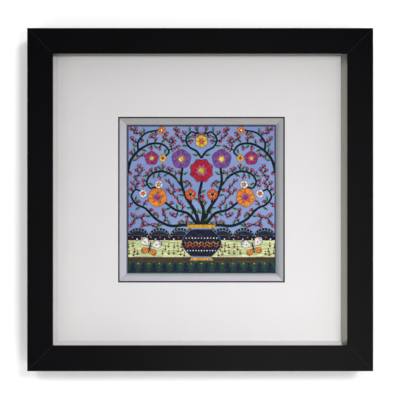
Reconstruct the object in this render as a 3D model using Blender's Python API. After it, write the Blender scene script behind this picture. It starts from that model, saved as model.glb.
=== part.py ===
"""Framed embroidery picture.

A square of embroidered cloth lies stretched behind a narrow sloping slip and a bevelled mat, set
deep in a mitred, rebated black frame. The picture faces -Y, Z is up, and the back of the frame and
of its backing board lie in the plane y = 0, so the origin is the middle of the back.
"""

import math
from collections import namedtuple

import bmesh
import bpy
import numpy as np
from mathutils import Vector
from mathutils.geometry import delaunay_2d_cdt

MM = 0.001

# Every two pieces that touch keep this much between them.
CLEARANCE = 0.3 * MM

# The four rails of the frame.
OUTER_WIDTH = 346.4 * MM
OUTER_HEIGHT = 343.6 * MM
RAIL_DEPTH = 36.0 * MM
FACE_WIDTH = 25.5 * MM
LIP_THICKNESS = 3.0 * MM
REBATE_WIDTH = 6.8 * MM
OUTER_ARRIS_RADIUS = 0.8 * MM
INNER_ARRIS_RADIUS = 0.5 * MM
ARRIS_STEPS = 3

# The stack inside the rebate, from the back forwards.
BACKING_THICKNESS = 3.2 * MM
CLOTH_THICKNESS = 1.5 * MM
SLIP_THICKNESS = 4.0 * MM
MAT_THICKNESS = 1.4 * MM

# The slip's opening is a little right of the middle and a little above it.
SLIP_OPENING_WIDTH = 155.0 * MM
SLIP_OPENING_HEIGHT = 154.6 * MM
SLIP_OPENING_X = 1.35 * MM
SLIP_OPENING_Z = 0.35 * MM
SLIP_SLOPE_WIDTH = 8.2 * MM
SLIP_FLANGE_WIDTH = 6.0 * MM
SLIP_EDGE_THICKNESS = 1.2 * MM

# The mat's window, measured on its front face, round the slip.
WINDOW_WIDTH = 172.8 * MM
WINDOW_HEIGHT = 171.8 * MM
WINDOW_X = 1.35 * MM
WINDOW_Z = -0.05 * MM

# The cloth is tucked this far under the slip on every side.
CLOTH_TUCK = 9.0 * MM

# The spacer strips are cut from one stock. Each one's inner face stands this far past the lip's
# edge, towards the middle of the picture; a negative seat leaves it behind the lip.
SPACER_STOCK = 4.4 * MM
SPACER_SEATS = {"top": -2.1 * MM, "bottom": 0.0, "left": 0.0, "right": 2.1 * MM}

# Each side of a rectangle in the picture's plane, as (x, z) steps: the way from its edge towards
# the middle, and the way along it.
SIDES = {
    "top": {"inward": (0, -1), "along": (1, 0)},
    "bottom": {"inward": (0, 1), "along": (-1, 0)},
    "left": {"inward": (1, 0), "along": (0, 1)},
    "right": {"inward": (-1, 0), "along": (0, -1)},
}

# Colour (linear red, green, blue), roughness and metallic value of each material.
FINISHES = {
    "black_lacquer": ((0.008, 0.008, 0.010), 0.42, 0.0),
    "spacer_board": ((0.62, 0.61, 0.57), 0.9, 0.0),
    "mat_board": ((0.80, 0.79, 0.78), 0.9, 0.0),
    "silver_slip": ((0.50, 0.50, 0.53), 0.45, 0.35),
    "periwinkle_cloth": ((0.21, 0.29, 0.52), 0.85, 0.0),
    "backing_board": ((0.28, 0.19, 0.11), 0.8, 0.0),
}

# Depths that follow from the stack, as y of each piece's back and front.
BACKING_FRONT = -BACKING_THICKNESS
CLOTH_BACK = BACKING_FRONT - CLEARANCE
CLOTH_FRONT = CLOTH_BACK - CLOTH_THICKNESS
SLIP_BACK = CLOTH_FRONT - CLEARANCE
SLIP_FRONT = SLIP_BACK - SLIP_THICKNESS
MAT_BACK = SLIP_FRONT - CLEARANCE
MAT_FRONT = MAT_BACK - MAT_THICKNESS
SPACER_BACK = MAT_FRONT - CLEARANCE
RAIL_FRONT = -RAIL_DEPTH
LIP_BACK = RAIL_FRONT + LIP_THICKNESS
SPACER_FRONT = LIP_BACK + CLEARANCE

# The rebate's wall, measured inwards from the frame's outer edge, and the boards that fill it.
REBATE_WALL = FACE_WIDTH - REBATE_WIDTH
BOARD_WIDTH = OUTER_WIDTH - 2 * (REBATE_WALL + CLEARANCE)
BOARD_HEIGHT = OUTER_HEIGHT - 2 * (REBATE_WALL + CLEARANCE)

# The stitched design: a common pot of flowers between two butterflies, on a scalloped ground with
# a sawtooth edge. From here to the end of its tables, lengths are millimetres, places are x to the
# right and z up from the middle of the slip's opening, and mirrored rows are made on the left too.
HALF_WIDTH = SLIP_OPENING_WIDTH / MM / 2
HALF_HEIGHT = SLIP_OPENING_HEIGHT / MM / 2

Stem = namedtuple("Stem", "route root_width tip_width mirrored")
STEMS = (
    Stem(((0, -27), (2.2, -12), (-2.2, 2), (0, 17)), 2.4, 1.6, False),
    Stem(((2.2, -27), (7, -12), (16, 2), (21, 18), (20, 32)), 2.2, 1.4, True),
    Stem(((20.5, 14), (29, 24), (40, 29), (51, 27), (57, 19), (54, 12), (48.5, 12.5)), 1.6, 1.1, True),
    Stem(((4, -27), (14, -15), (27, -11), (37, -4)), 2.0, 1.4, True),
    Stem(
        ((6, -27.5), (18, -27), (33, -27.5), (47, -21), (58, -10), (68, -5), (73, 3), (69, 10), (65, 9)),
        2.0,
        1.1,
        True,
    ),
    Stem(((77, 30), (73, 42), (64, 52), (52, 58), (40, 57), (34, 50), (37.5, 45)), 1.8, 1.1, True),
    Stem(((66, 50.5), (66, 60), (58, 69), (46, 72)), 1.3, 1.0, True),
    Stem(((0, 43), (5, 50), (13, 55), (16, 63), (11, 70), (6, 69)), 1.4, 1.0, True),
    Stem(((1.2, -27), (5.5, -17), (10.5, -8), (11, -1)), 1.6, 1.2, True),
)

Flower = namedtuple("Flower", "x z radius petals turn_deg mirrored")
FLOWERS = (
    Flower(0, 30, 13, 8, 22.5, False),
    Flower(21, 42, 10.5, 5, 90, True),
    Flower(46, 2, 10.5, 5, 60, True),
    Flower(0, 60.5, 7, 6, 30, False),
    Flower(52, 43, 7.5, 5, 20, True),
    Flower(11.5, 5, 6, 5, 90, True),
    Flower(44.5, 15.5, 4.5, 5, 50, True),
    Flower(61, 6, 4.5, 5, 10, True),
    Flower(40.5, 43, 4, 5, 30, True),
    Flower(41.5, 72, 4.2, 5, 0, True),
)
HEART_SHARE = 0.26
PETAL_ROOT_SHARE = 0.2
PETAL_FILL = 0.9
# Above 1 a petal is widest past its middle, and below 1 a leaf is widest before it.
PETAL_SWELL = 1.35
LEAF_SWELL = 0.85

LEAF_PITCH = 7.5
LEAF_FIRST = 4.5
LEAF_TIP_MARGIN = 2.0
LEAF_LENGTH = 6.2
LEAF_WIDTH = 2.8
LEAF_ANGLE_DEG = 50
LEAF_STANDOFF = 0.5
LEAF_ROOM = 3.0

SCALLOPS = 7
SCALLOP_BASE_Z = -38.2
SCALLOP_RISE = 7.0
SCALLOP_LINE_WIDTH = 2.8

TEETH = 14
TOOTH_BASE_Z = -75.6
TOOTH_TIP_Z = -65.5
TOOTH_FILL = 0.92

POT_BOTTOM_Z = -60.0
POT_TOP_Z = -31.0
POT_NECK_HALF_WIDTH = 10.5
POT_BELLY = 10.0
RIM_CORNERS = ((-14, -30.4), (14, -30.4), (15, -26), (-15, -26))
FOOT_CORNERS = ((-12.5, -64), (12.5, -64), (10, -60.6), (-10, -60.6))

# A butterfly's parts, as pointed ovals from its middle before it is tilted: where each starts,
# the way it points, its length and width, and its kind.
Oval = namedtuple("Oval", "x z angle_deg length width kind")
BUTTERFLY_PARTS = (
    Oval(0.7, 1.0, 36, 13.0, 8.5, "wing"),
    Oval(-0.7, 1.0, 144, 13.0, 8.5, "wing"),
    Oval(0.7, -0.6, -40, 9.0, 6.5, "wing"),
    Oval(-0.7, -0.6, 220, 9.0, 6.5, "wing"),
    Oval(0.0, -5.5, 90, 11.0, 2.4, "body"),
)
BUTTERFLY_PLACE = (54.0, -50.5)
BUTTERFLY_TILT_DEG = 14.0

# How far each kind of shape stands up from the cloth, and the width of its sloping edge.
RISE = {
    "stem": 0.45,
    "leaf": 0.5,
    "petal": 0.8,
    "heart": 0.9,
    "border": 0.5,
    "pot": 0.7,
    "rim": 0.8,
    "wing": 0.7,
    "body": 0.85,
}
# The crest of a broad shape is its outline, drawn in to this share of its size.
CREST_SHARE = {"petal": 0.5, "heart": 0.4, "border": 0.6, "pot": 0.92, "rim": 0.7}
EDGE_SLOPE = 0.7
# Nothing is raised nearer than this to the slip.
SLIP_MARGIN = 0.5
MARGIN_SLOPE = 0.8
NEAREST_POINTS = 0.02

# A raised shape: its closed outline, its crest (a line, or a loop if closed) and its kind.
Shape = namedtuple("Shape", "outline crest crest_closed kind")


def clear_scene():
    """Remove whatever the scene holds."""
    for thing in list(bpy.data.objects):
        bpy.data.objects.remove(thing, do_unlink=True)


def finish(name):
    """Give the material of that name, made from its row in FINISHES."""
    known = bpy.data.materials.get(name)
    if known is not None:
        return known
    colour, roughness, metallic = FINISHES[name]
    material = bpy.data.materials.new(name)
    material.use_nodes = True
    shader = material.node_tree.nodes["Principled BSDF"]
    shader.inputs["Base Color"].default_value = (*colour, 1.0)
    shader.inputs["Roughness"].default_value = roughness
    shader.inputs["Metallic"].default_value = metallic
    material.diffuse_color = (*colour, 1.0)
    return material


def solid(name, finish_name, points, faces):
    """Make one closed object from points and faces, with its faces pointing out."""
    mesh = bpy.data.meshes.new(name)
    mesh.from_pydata(points, [], faces)
    shell = bmesh.new()
    shell.from_mesh(mesh)
    bmesh.ops.recalc_face_normals(shell, faces=shell.faces)
    shell.to_mesh(mesh)
    shell.free()
    mesh.materials.append(finish(finish_name))
    thing = bpy.data.objects.new(name, mesh)
    bpy.context.collection.objects.link(thing)
    return thing


def joined_loops(count, loops, closed):
    """List the quads between loops of count points each, and back to the first if closed."""
    last = loops if closed else loops - 1
    return [
        (a * count + i, a * count + (i + 1) % count, b * count + (i + 1) % count, b * count + i)
        for a, b in ((loop, (loop + 1) % loops) for loop in range(last))
        for i in range(count)
    ]


def arc(centre, radius, start_deg, end_deg):
    """List the points of an arris: an arc round centre, from one angle to the other."""
    angles = np.radians(np.linspace(start_deg, end_deg, ARRIS_STEPS + 1))
    return [(centre[0] + radius * math.cos(a), centre[1] + radius * math.sin(a)) for a in angles]


def mitred_length(name, finish_name, profile, size, middle, side):
    """Make one side of a rectangular frame.

    profile is a closed outline of (distance inwards from the edge, y); size and middle are the
    rectangle's width and height and its centre. Both ends are cut at 45 degrees, and the cuts of
    two neighbours lie CLEARANCE apart.
    """
    inward, along = SIDES[side]["inward"], SIDES[side]["along"]
    half_along = (size[0] if along[0] else size[1]) / 2
    half_across = (size[1] if along[0] else size[0]) / 2
    kerf = CLEARANCE / math.sqrt(2)
    points = []
    for end in (-1, 1):
        for depth_in, y in profile:
            step = end * (half_along - depth_in - kerf)
            across = depth_in - half_across
            x = middle[0] + along[0] * step + inward[0] * across
            z = middle[1] + along[1] * step + inward[1] * across
            points.append((x, y, z))
    count = len(profile)
    ends = [tuple(range(count)), tuple(range(2 * count - 1, count - 1, -1))]
    return solid(name, finish_name, points, joined_loops(count, 2, closed=False) + ends)


def plate(name, finish_name, size, middle, back, front):
    """Make a flat board or strip of that size, from y = back to y = front."""
    half_x, half_z = size[0] / 2, size[1] / 2
    corners = [(-half_x, -half_z), (half_x, -half_z), (half_x, half_z), (-half_x, half_z)]
    points = [(middle[0] + x, y, middle[1] + z) for y in (back, front) for x, z in corners]
    return solid(name, finish_name, points, joined_loops(4, 2, closed=False) + [(0, 1, 2, 3), (7, 6, 5, 4)])


def rails():
    """Make the four rails: a flat face with eased arrises, a lip, and the rebate behind it."""
    outer_arris = arc(
        (OUTER_ARRIS_RADIUS, RAIL_FRONT + OUTER_ARRIS_RADIUS), OUTER_ARRIS_RADIUS, 180, 270
    )
    inner_arris = arc(
        (FACE_WIDTH - INNER_ARRIS_RADIUS, RAIL_FRONT + INNER_ARRIS_RADIUS), INNER_ARRIS_RADIUS, 270, 360
    )
    rebate = [(FACE_WIDTH, LIP_BACK), (REBATE_WALL, LIP_BACK), (REBATE_WALL, 0.0)]
    profile = [(0.0, 0.0)] + outer_arris + inner_arris + rebate
    for side in SIDES:
        mitred_length(f"rail_{side}", "black_lacquer", profile, (OUTER_WIDTH, OUTER_HEIGHT), (0.0, 0.0), side)


def spacers():
    """Make the spacer strips: top and bottom run the rebate's full width, the others between them."""
    inner = {side: FACE_WIDTH + seat for side, seat in SPACER_SEATS.items()}
    left, right = -OUTER_WIDTH / 2 + inner["left"], OUTER_WIDTH / 2 - inner["right"]
    bottom, top = -OUTER_HEIGHT / 2 + inner["bottom"], OUTER_HEIGHT / 2 - inner["top"]
    upright_height = top - bottom - 2 * CLEARANCE
    upright_z = (top + bottom) / 2
    strips = {
        "top": ((BOARD_WIDTH, SPACER_STOCK), (0.0, top + SPACER_STOCK / 2)),
        "bottom": ((BOARD_WIDTH, SPACER_STOCK), (0.0, bottom - SPACER_STOCK / 2)),
        "left": ((SPACER_STOCK, upright_height), (left - SPACER_STOCK / 2, upright_z)),
        "right": ((SPACER_STOCK, upright_height), (right + SPACER_STOCK / 2, upright_z)),
    }
    for side, (size, middle) in strips.items():
        plate(f"spacer_{side}", "spacer_board", size, middle, SPACER_BACK, SPACER_FRONT)


def mat():
    """Make the mat: a board whose window is cut with a 45 degree bevel, wider at the front."""

    def rectangle(width, height, middle, y):
        corners = ((-1, -1), (1, -1), (1, 1), (-1, 1))
        return [(middle[0] + sx * width / 2, y, middle[1] + sz * height / 2) for sx, sz in corners]

    window = (WINDOW_X, WINDOW_Z)
    back_width, back_height = WINDOW_WIDTH - 2 * MAT_THICKNESS, WINDOW_HEIGHT - 2 * MAT_THICKNESS
    points = rectangle(BOARD_WIDTH, BOARD_HEIGHT, (0.0, 0.0), MAT_FRONT)
    points += rectangle(BOARD_WIDTH, BOARD_HEIGHT, (0.0, 0.0), MAT_BACK)
    points += rectangle(back_width, back_height, window, MAT_BACK)
    points += rectangle(WINDOW_WIDTH, WINDOW_HEIGHT, window, MAT_FRONT)
    solid("mat_board", "mat_board", points, joined_loops(4, 4, closed=True))


def slip():
    """Make the slip's four lengths: a flange behind the mat and a slope down to the cloth."""
    full_width = SLIP_SLOPE_WIDTH + SLIP_FLANGE_WIDTH
    size = (SLIP_OPENING_WIDTH + 2 * full_width, SLIP_OPENING_HEIGHT + 2 * full_width)
    profile = [
        (0.0, SLIP_BACK),
        (0.0, SLIP_FRONT),
        (SLIP_FLANGE_WIDTH, SLIP_FRONT),
        (full_width, SLIP_BACK - SLIP_EDGE_THICKNESS),
        (full_width, SLIP_BACK),
    ]
    for side in SIDES:
        mitred_length(f"slip_{side}", "silver_slip", profile, size, (SLIP_OPENING_X, SLIP_OPENING_Z), side)


def smooth_line(route, steps=4):
    """Give the points of a smooth curve through the route, with steps to each stretch.

    It is a Catmull-Rom curve: each stretch is a cubic whose slope at a route point is half the
    step between that point's two neighbours.
    """
    p = np.array(route, float)
    p = np.vstack([2 * p[0] - p[1], p, 2 * p[-1] - p[-2]])
    t = np.linspace(0, 1, steps, endpoint=False)[:, None]
    stretches = [
        0.5 * (2 * b + (c - a) * t + (2 * a - 5 * b + 4 * c - d) * t**2 + (3 * (b - c) + d - a) * t**3)
        for a, b, c, d in zip(p, p[1:], p[2:], p[3:])
    ]
    return np.vstack(stretches + [p[-2][None]])


def directions(line):
    """Give the unit vectors along a line and across it, to its left, at every point."""
    along = np.gradient(line, axis=0)
    along /= np.linalg.norm(along, axis=1)[:, None]
    return along, np.stack([-along[:, 1], along[:, 0]], axis=1)


def turned(points, angle_deg, start):
    """Turn points about the origin and move the origin to start."""
    c, s = math.cos(math.radians(angle_deg)), math.sin(math.radians(angle_deg))
    return np.asarray(points) @ np.array([[c, s], [-s, c]]) + np.asarray(start)


def shrunk(outline, share):
    """Give the outline drawn in towards its own middle."""
    middle = outline.mean(axis=0)
    return middle + (outline - middle) * share


def band(line, root_width, tip_width, kind):
    """Make a shape that follows a line, with its crest on the line."""
    across = directions(line)[1] * np.linspace(root_width, tip_width, len(line))[:, None] / 2
    return Shape(np.vstack([line + across, (line - across)[::-1]]), line[1:-1], False, kind)


def pointed_oval(start, angle_deg, length, width, kind, steps=5, swell=LEAF_SWELL):
    """Make a leaf-like shape: its width follows a sine from one tip to the other."""
    u = np.linspace(0, 1, steps)
    half = np.sin(math.pi * u**swell) * width / 2
    upper = np.stack([u * length, half], axis=1)
    lower = np.stack([u * length, -half], axis=1)[::-1][1:-1]
    rib = np.stack([u * length, 0 * u], axis=1)[1:-1]
    outline = turned(np.vstack([upper, lower]), angle_deg, start)
    return Shape(outline, turned(rib, angle_deg, start), False, kind)


def round_spot(centre, radius, kind, sides=8):
    """Make a round shape."""
    a = np.linspace(0, 2 * math.pi, sides, endpoint=False)
    outline = np.asarray(centre) + radius * np.stack([np.cos(a), np.sin(a)], axis=1)
    return Shape(outline, shrunk(outline, CREST_SHARE[kind]), True, kind)


def cut_shape(corners, kind):
    """Make a shape with straight or stepped sides, flat on top."""
    outline = np.array(corners, float)
    return Shape(outline, shrunk(outline, CREST_SHARE[kind]), True, kind)


def mirrored(shape):
    """Give the shape's mirror image on the left."""
    flip = np.array([-1.0, 1.0])
    return Shape((shape.outline * flip)[::-1], shape.crest * flip, shape.crest_closed, shape.kind)


def flower_shapes(flower):
    """List a flower's petals and its heart."""
    width = 2 * flower.radius * math.sin(math.pi / flower.petals) * PETAL_FILL
    root = flower.radius * PETAL_ROOT_SHARE
    petals = []
    for k in range(flower.petals):
        angle = flower.turn_deg + 360 * k / flower.petals
        start = turned([(root, 0)], angle, (flower.x, flower.z))[0]
        length = flower.radius - root
        petal = pointed_oval(start, angle, length, width, "petal", steps=6, swell=PETAL_SWELL)
        petals.append(cut_shape(petal.outline, "petal"))
    return petals + [round_spot((flower.x, flower.z), flower.radius * HEART_SHARE, "heart")]


def leaf_shapes(line, width, taken):
    """List the leaves of a stem, on either side in turn, where there is room for them.

    taken holds (x, z, radius) of what is there already, and gets each new leaf's place.
    """
    steps = np.linalg.norm(np.diff(line, axis=0), axis=1)
    travelled = np.concatenate([[0], np.cumsum(steps)])
    along, across = directions(line)
    leaves = []
    reaches = np.arange(LEAF_FIRST, travelled[-1] - LEAF_TIP_MARGIN, LEAF_PITCH)
    for number, reach in enumerate(reaches):
        place, ahead, aside = (
            np.array([np.interp(reach, travelled, way[:, k]) for k in (0, 1)])
            for way in (line, along, across)
        )
        side = 1 if number % 2 else -1
        angle = math.degrees(math.atan2(ahead[1], ahead[0])) + side * LEAF_ANGLE_DEG
        start = place + aside * side * (width / 2 + LEAF_STANDOFF)
        middle = turned([(LEAF_LENGTH / 2, 0)], angle, start)[0]
        if all(math.dist(middle, (x, z)) > radius + LEAF_ROOM for x, z, radius in taken):
            taken.append((*middle, LEAF_ROOM / 2))
            leaves.append(pointed_oval(start, angle, LEAF_LENGTH, LEAF_WIDTH, "leaf"))
    return leaves


def pot_shapes():
    """List the pot's body, whose half width swells by a sine between foot and rim, and its bands."""
    u = np.linspace(0, 1, 10)
    half = POT_NECK_HALF_WIDTH + POT_BELLY * np.sin(math.pi * u)
    z = POT_BOTTOM_Z + (POT_TOP_Z - POT_BOTTOM_Z) * u
    body = np.vstack([np.stack([half, z], axis=1), np.stack([-half, z], axis=1)[::-1]])
    return [cut_shape(body, "pot"), cut_shape(RIM_CORNERS, "rim"), cut_shape(FOOT_CORNERS, "rim")]


def border_shapes():
    """List the scalloped line along the ground's top and the sawtooth edge along its foot."""
    shapes = []
    scallop_width = 2 * (HALF_WIDTH - SLIP_MARGIN) / SCALLOPS
    a = np.linspace(0, math.pi, 9)
    for k in range(SCALLOPS):
        x = scallop_width * (k - (SCALLOPS - 1) / 2)
        half = scallop_width / 2 - SCALLOP_LINE_WIDTH / 2
        line = np.stack([x + half * np.cos(a), SCALLOP_BASE_Z + SCALLOP_RISE * np.sin(a)], axis=1)
        shapes.append(band(line, SCALLOP_LINE_WIDTH, SCALLOP_LINE_WIDTH, "border"))
    tooth_width = 2 * (HALF_WIDTH - SLIP_MARGIN) / TEETH
    for k in range(TEETH):
        x, half = tooth_width * (k - (TEETH - 1) / 2), tooth_width * TOOTH_FILL / 2
        corners = ((x - half, TOOTH_BASE_Z), (x + half, TOOTH_BASE_Z), (x, TOOTH_TIP_Z))
        shapes.append(cut_shape(corners, "border"))
    return shapes


def butterfly_shapes():
    """List the parts of the butterfly on the right."""
    shapes = []
    for x, z, angle, length, width, kind in BUTTERFLY_PARTS:
        start = turned([(x, z)], BUTTERFLY_TILT_DEG, BUTTERFLY_PLACE)[0]
        shapes.append(pointed_oval(start, angle + BUTTERFLY_TILT_DEG, length, width, kind, 7, PETAL_SWELL))
    return shapes


def design():
    """List every raised shape of the design."""
    shapes = pot_shapes() + border_shapes()
    for part in butterfly_shapes():
        shapes += [part, mirrored(part)]
    taken = [(flower.x, flower.z, flower.radius) for flower in FLOWERS]
    for flower in FLOWERS:
        parts = flower_shapes(flower)
        shapes += parts + ([mirrored(part) for part in parts] if flower.mirrored else [])
    for stem in STEMS:
        line = smooth_line(stem.route)
        parts = [band(line, stem.root_width, stem.tip_width, "stem")]
        parts += leaf_shapes(line, stem.root_width, taken)
        shapes += parts + ([mirrored(part) for part in parts] if stem.mirrored else [])
    return shapes


def height_over(places, shape):
    """Give how high the shape stands at each place: nothing outside it, its rise inside it.

    A place is inside where a ray from it crosses the outline an odd number of times, and the rise
    grows with its distance from the nearest side of the outline.
    """
    a, b = shape.outline, np.roll(shape.outline, -1, axis=0)
    side = b - a
    from_a = places[:, None] - a[None]
    share = np.clip((from_a * side).sum(-1) / np.maximum((side**2).sum(-1), 1e-9), 0, 1)
    away = np.linalg.norm(from_a - share[..., None] * side, axis=-1).min(axis=1)
    spans = (a[:, 1] > places[:, 1:2]) != (b[:, 1] > places[:, 1:2])
    drop = np.where(side[:, 1] == 0, 1.0, side[:, 1])
    meets = a[:, 0] + (places[:, 1:2] - a[:, 1]) * side[:, 0] / drop
    inside = (spans & (places[:, 0:1] < meets)).sum(axis=1) % 2 == 1
    return np.where(inside, RISE[shape.kind] * np.clip(away / EDGE_SLOPE, 0, 1), 0.0)


def heights(places, shapes):
    """Give the cloth's relief at each place: the highest shape there, and nothing by the slip."""
    relief = np.zeros(len(places))
    for shape in shapes:
        near = ((places >= shape.outline.min(axis=0)) & (places <= shape.outline.max(axis=0))).all(axis=1)
        relief[near] = np.maximum(relief[near], height_over(places[near], shape))
    inset = np.minimum(HALF_WIDTH - np.abs(places[:, 0]), HALF_HEIGHT - np.abs(places[:, 1]))
    return relief * np.clip((inset - SLIP_MARGIN) / MARGIN_SLOPE, 0, 1)


def cloth():
    """Make the cloth: a flat sheet with the design raised on its front.

    The front is cut into triangles along every outline and crest. Its outermost points are the
    sheet's four corners, which the flat back shares.
    """
    corners = np.array([(-1, -1), (1, -1), (1, 1), (-1, 1)], float)
    half = np.array([HALF_WIDTH, HALF_HEIGHT])
    shapes = design()
    loops = [(corners * (half + CLOTH_TUCK / MM), True), (corners * (half - SLIP_MARGIN), True)]
    for shape in shapes:
        loops += [(shape.outline, True), (shape.crest, shape.crest_closed)]
    places, edges = [], []
    for loop, closed in loops:
        first = len(places)
        places += [Vector(place) for place in loop]
        edges += [(i, i + 1) for i in range(first, len(places) - 1)]
        if closed:
            edges.append((len(places) - 1, first))
    places, _, faces, *_ = delaunay_2d_cdt(places, edges, [], 0, NEAREST_POINTS, False)
    flat = np.array([tuple(place) for place in places])
    relief = heights(flat, shapes)
    front = np.stack(
        [
            SLIP_OPENING_X + flat[:, 0] * MM,
            CLOTH_FRONT - relief * MM,
            SLIP_OPENING_Z + flat[:, 1] * MM,
        ],
        axis=1,
    )
    outer = [int(np.linalg.norm(flat - corner, axis=1).argmin()) for corner in loops[0][0]]
    back = front[outer] * (1, 0, 1) + (0, CLOTH_BACK, 0)
    count = len(front)
    sides = [(outer[i], outer[(i + 1) % 4], count + (i + 1) % 4, count + i) for i in range(4)]
    faces = [tuple(face) for face in faces] + sides + [tuple(range(count, count + 4))]
    solid("embroidered_cloth", "periwinkle_cloth", np.vstack([front, back]).tolist(), faces)


def main():
    clear_scene()
    rails()
    spacers()
    mat()
    slip()
    cloth()
    plate("backing_board", "backing_board", (BOARD_WIDTH, BOARD_HEIGHT), (0.0, 0.0), 0.0, BACKING_FRONT)


main()
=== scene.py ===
"""The looks of a framed embroidery picture.

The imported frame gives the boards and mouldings. This script gives each its finish, and replaces
the plain cloth by a woven one whose design is worked in real stitches: every thread is a closed
tapered tube, and every knot a small coiled bead.
"""

import logging
import math
from dataclasses import dataclass, field, replace
from enum import Enum
from typing import Any, NamedTuple

import bpy
import numpy as np
from bpy.types import Material, Mesh, Node, NodeSocket, Object
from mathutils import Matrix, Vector


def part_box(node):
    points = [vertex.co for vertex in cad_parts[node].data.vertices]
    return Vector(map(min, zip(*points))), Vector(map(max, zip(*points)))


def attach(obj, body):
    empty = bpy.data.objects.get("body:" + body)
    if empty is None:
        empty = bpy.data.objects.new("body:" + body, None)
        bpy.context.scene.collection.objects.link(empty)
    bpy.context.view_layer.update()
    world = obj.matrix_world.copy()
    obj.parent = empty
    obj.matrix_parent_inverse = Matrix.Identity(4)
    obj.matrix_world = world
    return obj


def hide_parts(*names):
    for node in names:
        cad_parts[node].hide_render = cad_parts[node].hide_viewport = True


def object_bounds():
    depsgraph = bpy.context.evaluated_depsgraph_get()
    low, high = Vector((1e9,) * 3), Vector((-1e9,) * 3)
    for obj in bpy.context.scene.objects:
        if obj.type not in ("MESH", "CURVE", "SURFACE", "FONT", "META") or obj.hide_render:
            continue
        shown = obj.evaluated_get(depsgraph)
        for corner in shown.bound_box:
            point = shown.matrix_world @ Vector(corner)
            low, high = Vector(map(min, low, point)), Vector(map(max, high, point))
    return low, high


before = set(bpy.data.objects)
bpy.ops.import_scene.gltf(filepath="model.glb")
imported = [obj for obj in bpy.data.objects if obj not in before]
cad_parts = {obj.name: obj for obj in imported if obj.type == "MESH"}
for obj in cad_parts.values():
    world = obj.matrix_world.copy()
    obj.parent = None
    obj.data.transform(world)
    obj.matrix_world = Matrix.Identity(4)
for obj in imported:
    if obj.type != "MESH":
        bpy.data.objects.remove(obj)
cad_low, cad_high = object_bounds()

Array = np.ndarray
Span = tuple[float, float]
Triple = tuple[float, float, float]
Colour = Triple
Route = tuple[Span, ...]

log = logging.getLogger("framed_embroidery")

MM = 0.001
BODY = "root"
SIDES = ("top", "bottom", "left", "right")


# Shader recipes


def linear(colour: Colour) -> tuple[float, float, float, float]:
    """Turn a colour as seen into the linear one that shaders use, by the sRGB curve.

    Args:
        colour: Red, green and blue from 0 to 255, as a screen shows them.

    Returns:
        Linear red, green and blue, with an alpha of 1.
    """
    share = np.array(colour, float) / 255
    lit = np.where(share <= 0.04045, share / 12.92, ((share + 0.055) / 1.055) ** 2.4)
    return (*lit.tolist(), 1.0)


def dimmed(colour: Colour, share: float) -> Colour:
    """Give a colour with its red, green and blue multiplied by a share."""
    return tuple(part * share for part in colour)


class Tap:
    """A number inside a recipe, so that shader maths reads as plain arithmetic."""

    def __init__(self, recipe: "Recipe", socket: NodeSocket) -> None:
        """Wrap one output socket of a recipe's node."""
        self.recipe = recipe
        self.socket = socket

    def _maths(self, operation: str, first: Any, second: Any = 0.0) -> "Tap":
        """Add one Math node for an operation on one or two numbers."""
        return self.recipe.number("ShaderNodeMath", {"operation": operation}, {0: first, 1: second})

    def __add__(self, other: "Tap | float") -> "Tap":
        """Give self + other."""
        return self._maths("ADD", self, other)

    __radd__ = __add__

    def __mul__(self, other: "Tap | float") -> "Tap":
        """Give self * other."""
        return self._maths("MULTIPLY", self, other)

    __rmul__ = __mul__

    def __sub__(self, other: "Tap | float") -> "Tap":
        """Give self - other."""
        return self._maths("SUBTRACT", self, other)

    def __rsub__(self, other: float) -> "Tap":
        """Give other - self."""
        return self._maths("SUBTRACT", other, self)

    def __abs__(self) -> "Tap":
        """Give the size of self without its sign."""
        return self._maths("ABSOLUTE", self)

    def wave(self) -> "Tap":
        """Give the sine of self."""
        return self._maths("SINE", self)

    def most(self, other: "Tap | float") -> "Tap":
        """Give the greater of self and other."""
        return self._maths("MAXIMUM", self, other)

    def rising(self, low: float, high: float) -> "Tap":
        """Give 0 below low and 1 above high, with a soft step between; low may be above high."""
        settings = {"interpolation_type": "SMOOTHSTEP"}
        sockets = {"Value": self, "From Min": low, "From Max": high, "To Min": 0.0, "To Max": 1.0}
        if low > high:
            sockets |= {"From Min": high, "From Max": low, "To Min": 1.0, "To Max": 0.0}
        return self.recipe.number("ShaderNodeMapRange", settings, sockets)


@dataclass(frozen=True)
class Noise:
    """Soft noise from 0 to 1: its lumps in each unit, its detail, its stretch and its soft step."""

    scale: float
    detail: float = 3.0
    stretch: Triple | None = None
    step: Span | None = None


@dataclass(frozen=True)
class Relief:
    """The fine relief of a finish: its depth in metres, and how strongly it shades."""

    depth: float
    strength: float = 0.6


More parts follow.
